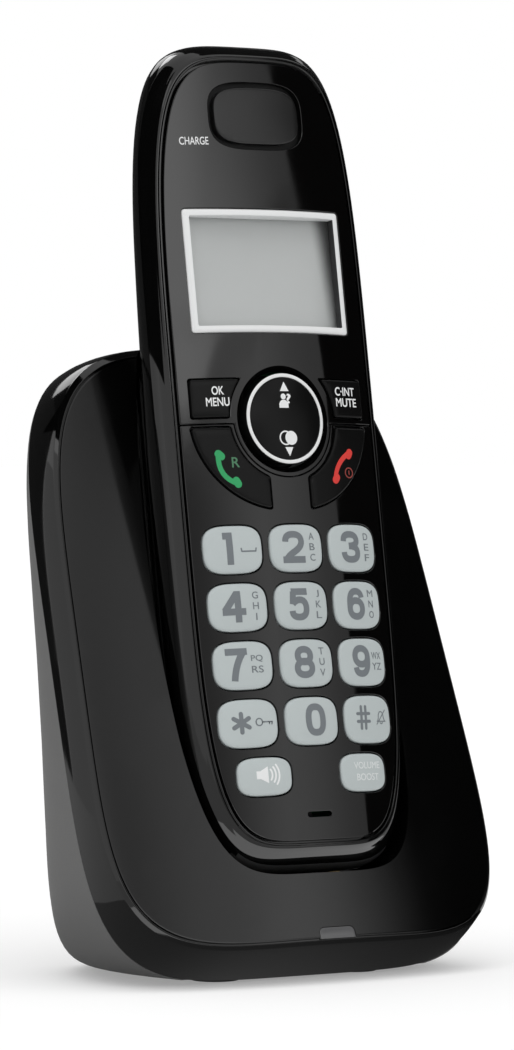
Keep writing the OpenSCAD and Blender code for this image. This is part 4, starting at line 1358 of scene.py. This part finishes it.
for digit, (shift, width, letters, letter_x) in DIGIT_MARKS.items():
    key = "key_" + digit
    key_x, key_z = LIGHT_KEYS[key][:2]
    marks = [digit_shape(digit, width, DIGIT_H, key_x + shift, key_z + MARK_RAISE, DIGIT_WEIGHT)]
    for i, letter in enumerate(letters):
        level = key_z + MARK_RAISE + LETTER_PITCH * ((len(letters) - 1) / 2 - i)
        wide = ODD_LETTERS.get(letter, LETTER_W * len(letter))
        marks.append(word(letter, wide, LETTER_H, key_x + letter_x, level, LETTER_WEIGHT))
    if digit == "1":
        tray = [(1.35, 0.15), (1.45, -0.35)], [(1.45, -0.4), (4.45, -0.4)], [(4.45, -0.35), (4.55, 0.15)]
        marks.append(shape(*strokes(tray, 0.28, key_x, key_z)))
    print_on(key, ink_grey, *marks)

# Star with a key for the lock
x, z = LIGHT_KEYS["key_star"][:2]
tips = [(1.75 * math.sin(turn), 1.75 * math.cos(turn)) for turn in turns(300, 5)]
star = strokes([[(0, 0), tip] for tip in tips], 0.85, x - 1.7, z + 0.15)
shank = [(2.6, 0), (4.7, 0)], [(4.05, 0), (4.05, -0.4)], [(4.6, 0), (4.6, -0.45)]
lock = loop(0.68, x + 1.9, z + 0.2, 0.24) + strokes(shank, 0.24, x, z + 0.2)
print_on("key_star", ink_grey, shape(*star, *lock))

# Hash with a silent bell
x, z = LIGHT_KEYS["key_hash"][:2]
bars = [[(-2.0, -2.1), (-1.8, 2.1)], [(-0.9, -2.1), (-0.7, 2.1)], [(-2.85, 0.75), (0.15, 0.75)],
        [(-2.85, -0.75), (0.15, -0.75)]]
bell = [(-1.0, -0.75), (-0.75, -0.25), (-0.65, 0.5), (-0.35, 1.0), (0, 1.12), (0.35, 1.0), (0.65, 0.5),
        (0.75, -0.25), (1.0, -0.75)]
clapper = arc(0.35, 0, -0.9, 200, 340, 6)
ringer = [bell, [(-1.15, -0.78), (1.15, -0.78)], clapper, [(-1.25, -1.35), (1.25, 1.4)]]
silent = strokes(ringer, 0.2, x + 3.3, z + 0.35)
print_on("key_hash", ink_grey, shape(*strokes(bars, 0.6, x, z + 0.35), *silent))

# Loudspeaker, and the words on the volume key, the soft keys and the face
x, z = -LOW_KEY_X + 0.3, LOW_KEY_Z + 0.3
horn = moved([(-2.3, -0.75), (-1.5, -0.75), (0.1, -1.6), (0.1, 1.6), (-1.5, 0.75), (-2.3, 0.75)], x, z)
waves = [stroke(arc(radius, x - 0.7, z, -36, 36, 10), 0.36) for radius in (1.65, 2.4, 3.15)]
print_on("speaker_key", ink_white, shape(horn, *waves))

x, z = LOW_KEY_X + 0.8, LOW_KEY_Z
print_on("volume_key", ink_pale,
         word("VOLUME", 6.6, 1.35, x, z + 1.35, 0.012), word("BOOST", 5.6, 1.35, x, z - 0.9, 0.012))
print_on("menu_key", ink_white,
         word("OK", 2.5, 1.7, -14.3, 90.25, 0.02), word("MENU", 4.8, 1.7, -14.45, 88.05, 0.02))
print_on("clear_key", ink_white,
         word("C·INT", 5.1, 1.7, 15.2, 90.2, 0.02), word("MUTE", 5.4, 1.7, 15.4, 88.05, 0.02))
print_on("handset", ink_white, word("CHARGE", 6.0, 1.55, -14.3, 139, 0.008), name="charge")

# Call keys
talk_bar = (-15.35, 78.1), (-15.9, 73.4), (-11.6, 72.1)
talk_ends = [(-15.3, 78.0), (-14.75, 77.5)], [(-12.1, 72.75), (-11.75, 72.1)]
print_on("talk_key", ink_green, receiver(talk_bar, *talk_ends))
print_on("talk_key", ink_dim_green, word("R", 1.6, 2.0, -11.9, 76.3, 0.01), name="talk_letter")
end_bar = (15.1, 78.3), (11.2, 76.4), (10.7, 72.7)
end_ends = [(15.0, 78.2), (14.65, 77.65)], [(10.75, 72.8), (11.15, 73.3)]
print_on("end_key", ink_red, receiver(end_bar, *end_ends))
power_lines = loop(0.95, 14.4, 74.25, 0.22) + [stroke([(14.4, 73.95), (14.4, 74.6)], 0.22)]
print_on("end_key", ink_dim_red, shape(*power_lines), name="end_power")

# Nav key: arrows, a caller with a question mark, and a ring beside a disc
head = disc(0.58, -0.35, NAV_Z + 4.25, 24)
shoulders = [(0.7, 2.85), (0.4, 3.35), (0, 3.6), (-0.7, 3.6), (-1.1, 3.35), (-1.4, 2.85)]
bust = moved([(-1.4, 2.05), (0.7, 2.05)] + shoulders, 0, NAV_Z)
up = moved([(-1.0, 5.3), (1.0, 5.3), (0, 7.15)], 0, NAV_Z)
down = moved([(-0.92, -5.6), (0, -7.35), (0.92, -5.6)], 0, NAV_Z)
pair = loop(1.28, -0.6, NAV_Z - 3.8, 0.28) + [disc(1.36, 0.66, NAV_Z - 3.8, 40)]
print_on("nav_rocker", ink_white, shape(head, bust, up, down, *pair),
         word("?", 1.0, 1.9, 0.85, NAV_Z + 3.85, 0.03), name="nav")


# Lamp lens

lens = base_front_body("lens", 0, SEAM)
cut(lens, lamp_block("lens_space", 0), "INTERSECT")
round_edges(lens, LAMP_ROUND, 2)
settle(lens, BASE, "base", lens_grey, ["lamp_lens"])


# Nodes that keep their own shape

FINISHES = (
    (rubber, ("base_feet",)),
    (steel, ("base_screws", "handset_screws", "microphone")),
    (board, ("base_circuit_board", "handset_circuit_board")),
    (gold, ("base_charge_contacts", "handset_charge_pads", "battery_contacts")),
    (diode_red, ("lamp_diode",)),
    (dark_plain, ("line_jack", "power_jack", "page_switch", "earpiece_speaker", "loudspeaker")),
    (grey_matt, ("page_button",)),
    (window_clear, ("display_window",)),
    (panel_grey, ("display_panel",)),
    (white_plain, ("display_backlight",)),
    (silicone, ("keypad_mat",)),
    (cell_wrap, ("battery_cells",)),
)
for material, nodes in FINISHES:
    for node in nodes:
        for material_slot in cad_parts[node].material_slots:
            material_slot.material = material


# Camera and studio

CARD_FAR = 6
FLAG_FAR = 7
EYE_LEVEL = 0.08
FLOOR_CARD_Z = 0.0003
AMBIENT = 0.74
FLOOR_TONE = 0.75
FLOOR_LIFT = 0.05
LENS = 170.1
SENSOR = 36
CAMERA_AT = (-0.53185, -0.80151, 0.10163)
CAMERA_TOWARDS = (0.55304, 0.833, -0.0158)


def around(azimuth, elevation, reach):
    """Point on a wide drum, by degrees round from the front towards the right and up from eye level."""
    turn = math.radians(azimuth)
    return Vector((reach * math.sin(turn), -reach * math.cos(turn),
                   EYE_LEVEL + reach * math.tan(math.radians(elevation))))


def grey(tone):
    """Colour of one tone."""
    return tone, tone, tone


def glow(obj, paint, tone, light, strength):
    """Gives a stage piece a dull finish that shines."""
    paint.set("Base Color", grey(tone))
    paint.set("Specular IOR Level", 0)
    paint.set("Emission Color", light)
    paint.set("Emission Strength", strength)
    obj.data.materials.append(paint.material)


def reflector(name, corners, low, high):
    """Panel that only the gloss sees, by its four corners.

    Its light is given for the first and second side, at its low and its high edge.
    """
    bpy.ops.mesh.primitive_plane_add(size=2)
    panel = bpy.context.object
    panel.name = name
    for vertex in panel.data.vertices:
        vertex.co = corners[(1 if vertex.co.x > 0 else 0) + (2 if vertex.co.y > 0 else 0)]
    paint = Paint(name)
    place_on = paint.add("ShaderNodeTexCoord", {}, {}, "UV")
    across = paint.add("ShaderNodeSeparateXYZ", {}, {0: place_on}, 0)
    up = paint.add("ShaderNodeSeparateXYZ", {}, {0: place_on}, 1)
    low_tone = paint.mix(across.over(0, 1), grey(low[0]), grey(low[1]))
    high_tone = paint.mix(across.over(0, 1), grey(high[0]), grey(high[1]))
    glow(panel, paint, 0, paint.mix(up.over(0, 1), low_tone, high_tone), 1)
    panel.visible_camera = False
    panel.visible_diffuse = False
    panel.visible_shadow = False
    panel.visible_transmission = False


def card(name, azimuths, elevations, low, high, top=None, reach=CARD_FAR):
    """Reflector between two azimuths and two elevations, with its own azimuths along its top if given."""
    sides = (elevations[0], azimuths), (elevations[1], top or azimuths)
    corners = [around(azimuth, elevation, reach) for elevation, pair in sides for azimuth in pair]
    reflector(name, corners, low, high)


def flag(name, azimuths, elevations, light=0, reach=FLAG_FAR):
    """Even reflector, dark and behind the cards if nothing else is said."""
    card(name, azimuths, elevations, (light, light), (light, light), None, reach)


def soft_sun(azimuth, elevation, strength, width):
    """Broad even light from one side, which the gloss doesn't mirror."""
    sun = bpy.data.objects.new("sun", bpy.data.lights.new("sun", "SUN"))
    sun.data.energy = strength
    sun.data.angle = math.radians(width)
    sun.rotation_euler = (math.radians(90 - elevation), 0, math.radians(azimuth))
    sun.visible_glossy = False
    bpy.context.collection.objects.link(sun)


def make_floor():
    """Pale floor, lifted to white where no shadow falls."""
    bpy.ops.mesh.primitive_plane_add(size=40)
    floor = bpy.context.object
    floor.name = "floor"
    paint = Paint("floor_paper", Roughness=1.0)
    camera_ray = paint.add("ShaderNodeLightPath", {}, {}, "Is Camera Ray")
    glow(floor, paint, FLOOR_TONE, paint.mix(camera_ray, grey(0), grey(1)), 1 - FLOOR_TONE + FLOOR_LIFT)


def make_world():
    """White surroundings, dimmer as light than as seen."""
    world = bpy.data.worlds.new("studio")
    bpy.context.scene.world = world
    tree = Tree(world)
    seen = tree.add("ShaderNodeLightPath", {}, {}, "Is Camera Ray")
    for ray in ("Is Glossy Ray", "Is Transmission Ray"):
        seen = seen.math("MAXIMUM", seen, tree.add("ShaderNodeLightPath", {}, {}, ray))
    background = tree.nodes["Background"]
    tree.feed(background.inputs["Strength"], seen * (1 - AMBIENT) + AMBIENT)
    tree.feed(background.inputs["Color"], (1, 1, 1))


bpy.context.scene.view_settings.view_transform = "Standard"
make_floor()
make_world()
soft_sun(azimuth=-25, elevation=72, strength=0.85, width=70)

# What the handset face mirrors: a bright window above on the left, a dimmer wall below it, and black
# on the right
card("wall_left", (-40, 0), (-12, 17.35), (0.25, 0.25), (0.42, 0.42))
card("wall", (0, 26), (-12, 17.35), (0.25, 1.0), (0.42, 1.2))
card("wall_right", (26, 51.5), (-12, 14.5), (0.9, 0.15), (1.15, 0.55))
card("wall_right_top", (26, 51.5), (14.5, 17.35), (1.15, 0.6), (1.2, 0.6), (26, 47.5))
card("window_left", (-40, 4), (17.35, 23), (2.6, 2.6), (2.5, 2.5))
card("window", (4, 47.5), (17.35, 23), (2.6, 0.6), (2.5, 0.6), (4, 33))
flag("right_flag", (30, 70), (-15, 45))
flag("far_right_flag", (70, 106), (-15, 33))

# What the base face mirrors: a wall that fades to the right and ends in black above
card("base_wall", (6, 24), (30, 34.5), (0.38, 1.15), (0.6, 1.05))
card("base_wall_top", (6, 24), (34.5, 39), (0.6, 1.05), (1.0, 0), (6, 20))
card("base_middle", (24, 32), (24, 33), (1.15, 1.35), (1.15, 1.35))
card("base_fade", (32, 58), (22.5, 33), (1.35, 0), (1.35, 0))
flag("high_flag", (18, 31), (33, 55))

# What the edges mirror, behind the phone and on its left
for name, start in (("back_flag", 105), ("middle_back_flag", 142), ("left_back_flag", 179)):
    flag(name, (start, start + 37), (-15, 27), 0.05)
flag("left_high_flag", (190, 216), (27, 42), 0.02)
flag("top_flag", (95, 128), (33, 75), 0.03)
flag("left_top_flag", (128, 162), (27, 75), 0.03)
flag("softbox", (162, 190), (27, 42), 2.5, CARD_FAR)
flag("corner_glint", (172, 200), (42, 58), 7, CARD_FAR)
card("left_wall", (216.5, 262), (-15, 15), (0.6, 1.1), (0.6, 1.1))
flag("left_strip", (-100, -50), (34, 50), 2, CARD_FAR)
# Upright flag close to the phone on its left
near_corners = [Vector((-0.06, y, z)) for z in (0.121, 0.28) for y in (-0.016, 0.06)]
reflector("near_flag", near_corners, (0, 0), (0, 0))


def on_floor(name, across, along, light):
    """Reflector that lies on the floor, with its light on the left and on the right."""
    reflector(name, [Vector((x, y, FLOOR_CARD_Z)) for y in along for x in across], light, light)


on_floor("mat", (-0.08, 0.08), (-0.032, 0.07), (0.3, 0))
on_floor("floor_glow", (-0.1, 0.12), (-0.075, -0.0325), (2.4, 2.4))

camera = bpy.data.objects.new("camera", bpy.data.cameras.new("camera"))
bpy.context.collection.objects.link(camera)
camera.data.lens = LENS
camera.data.sensor_width = SENSOR
camera.location = CAMERA_AT
camera.rotation_euler = Vector(CAMERA_TOWARDS).to_track_quat("-Z", "Y").to_euler()
bpy.context.scene.camera = camera
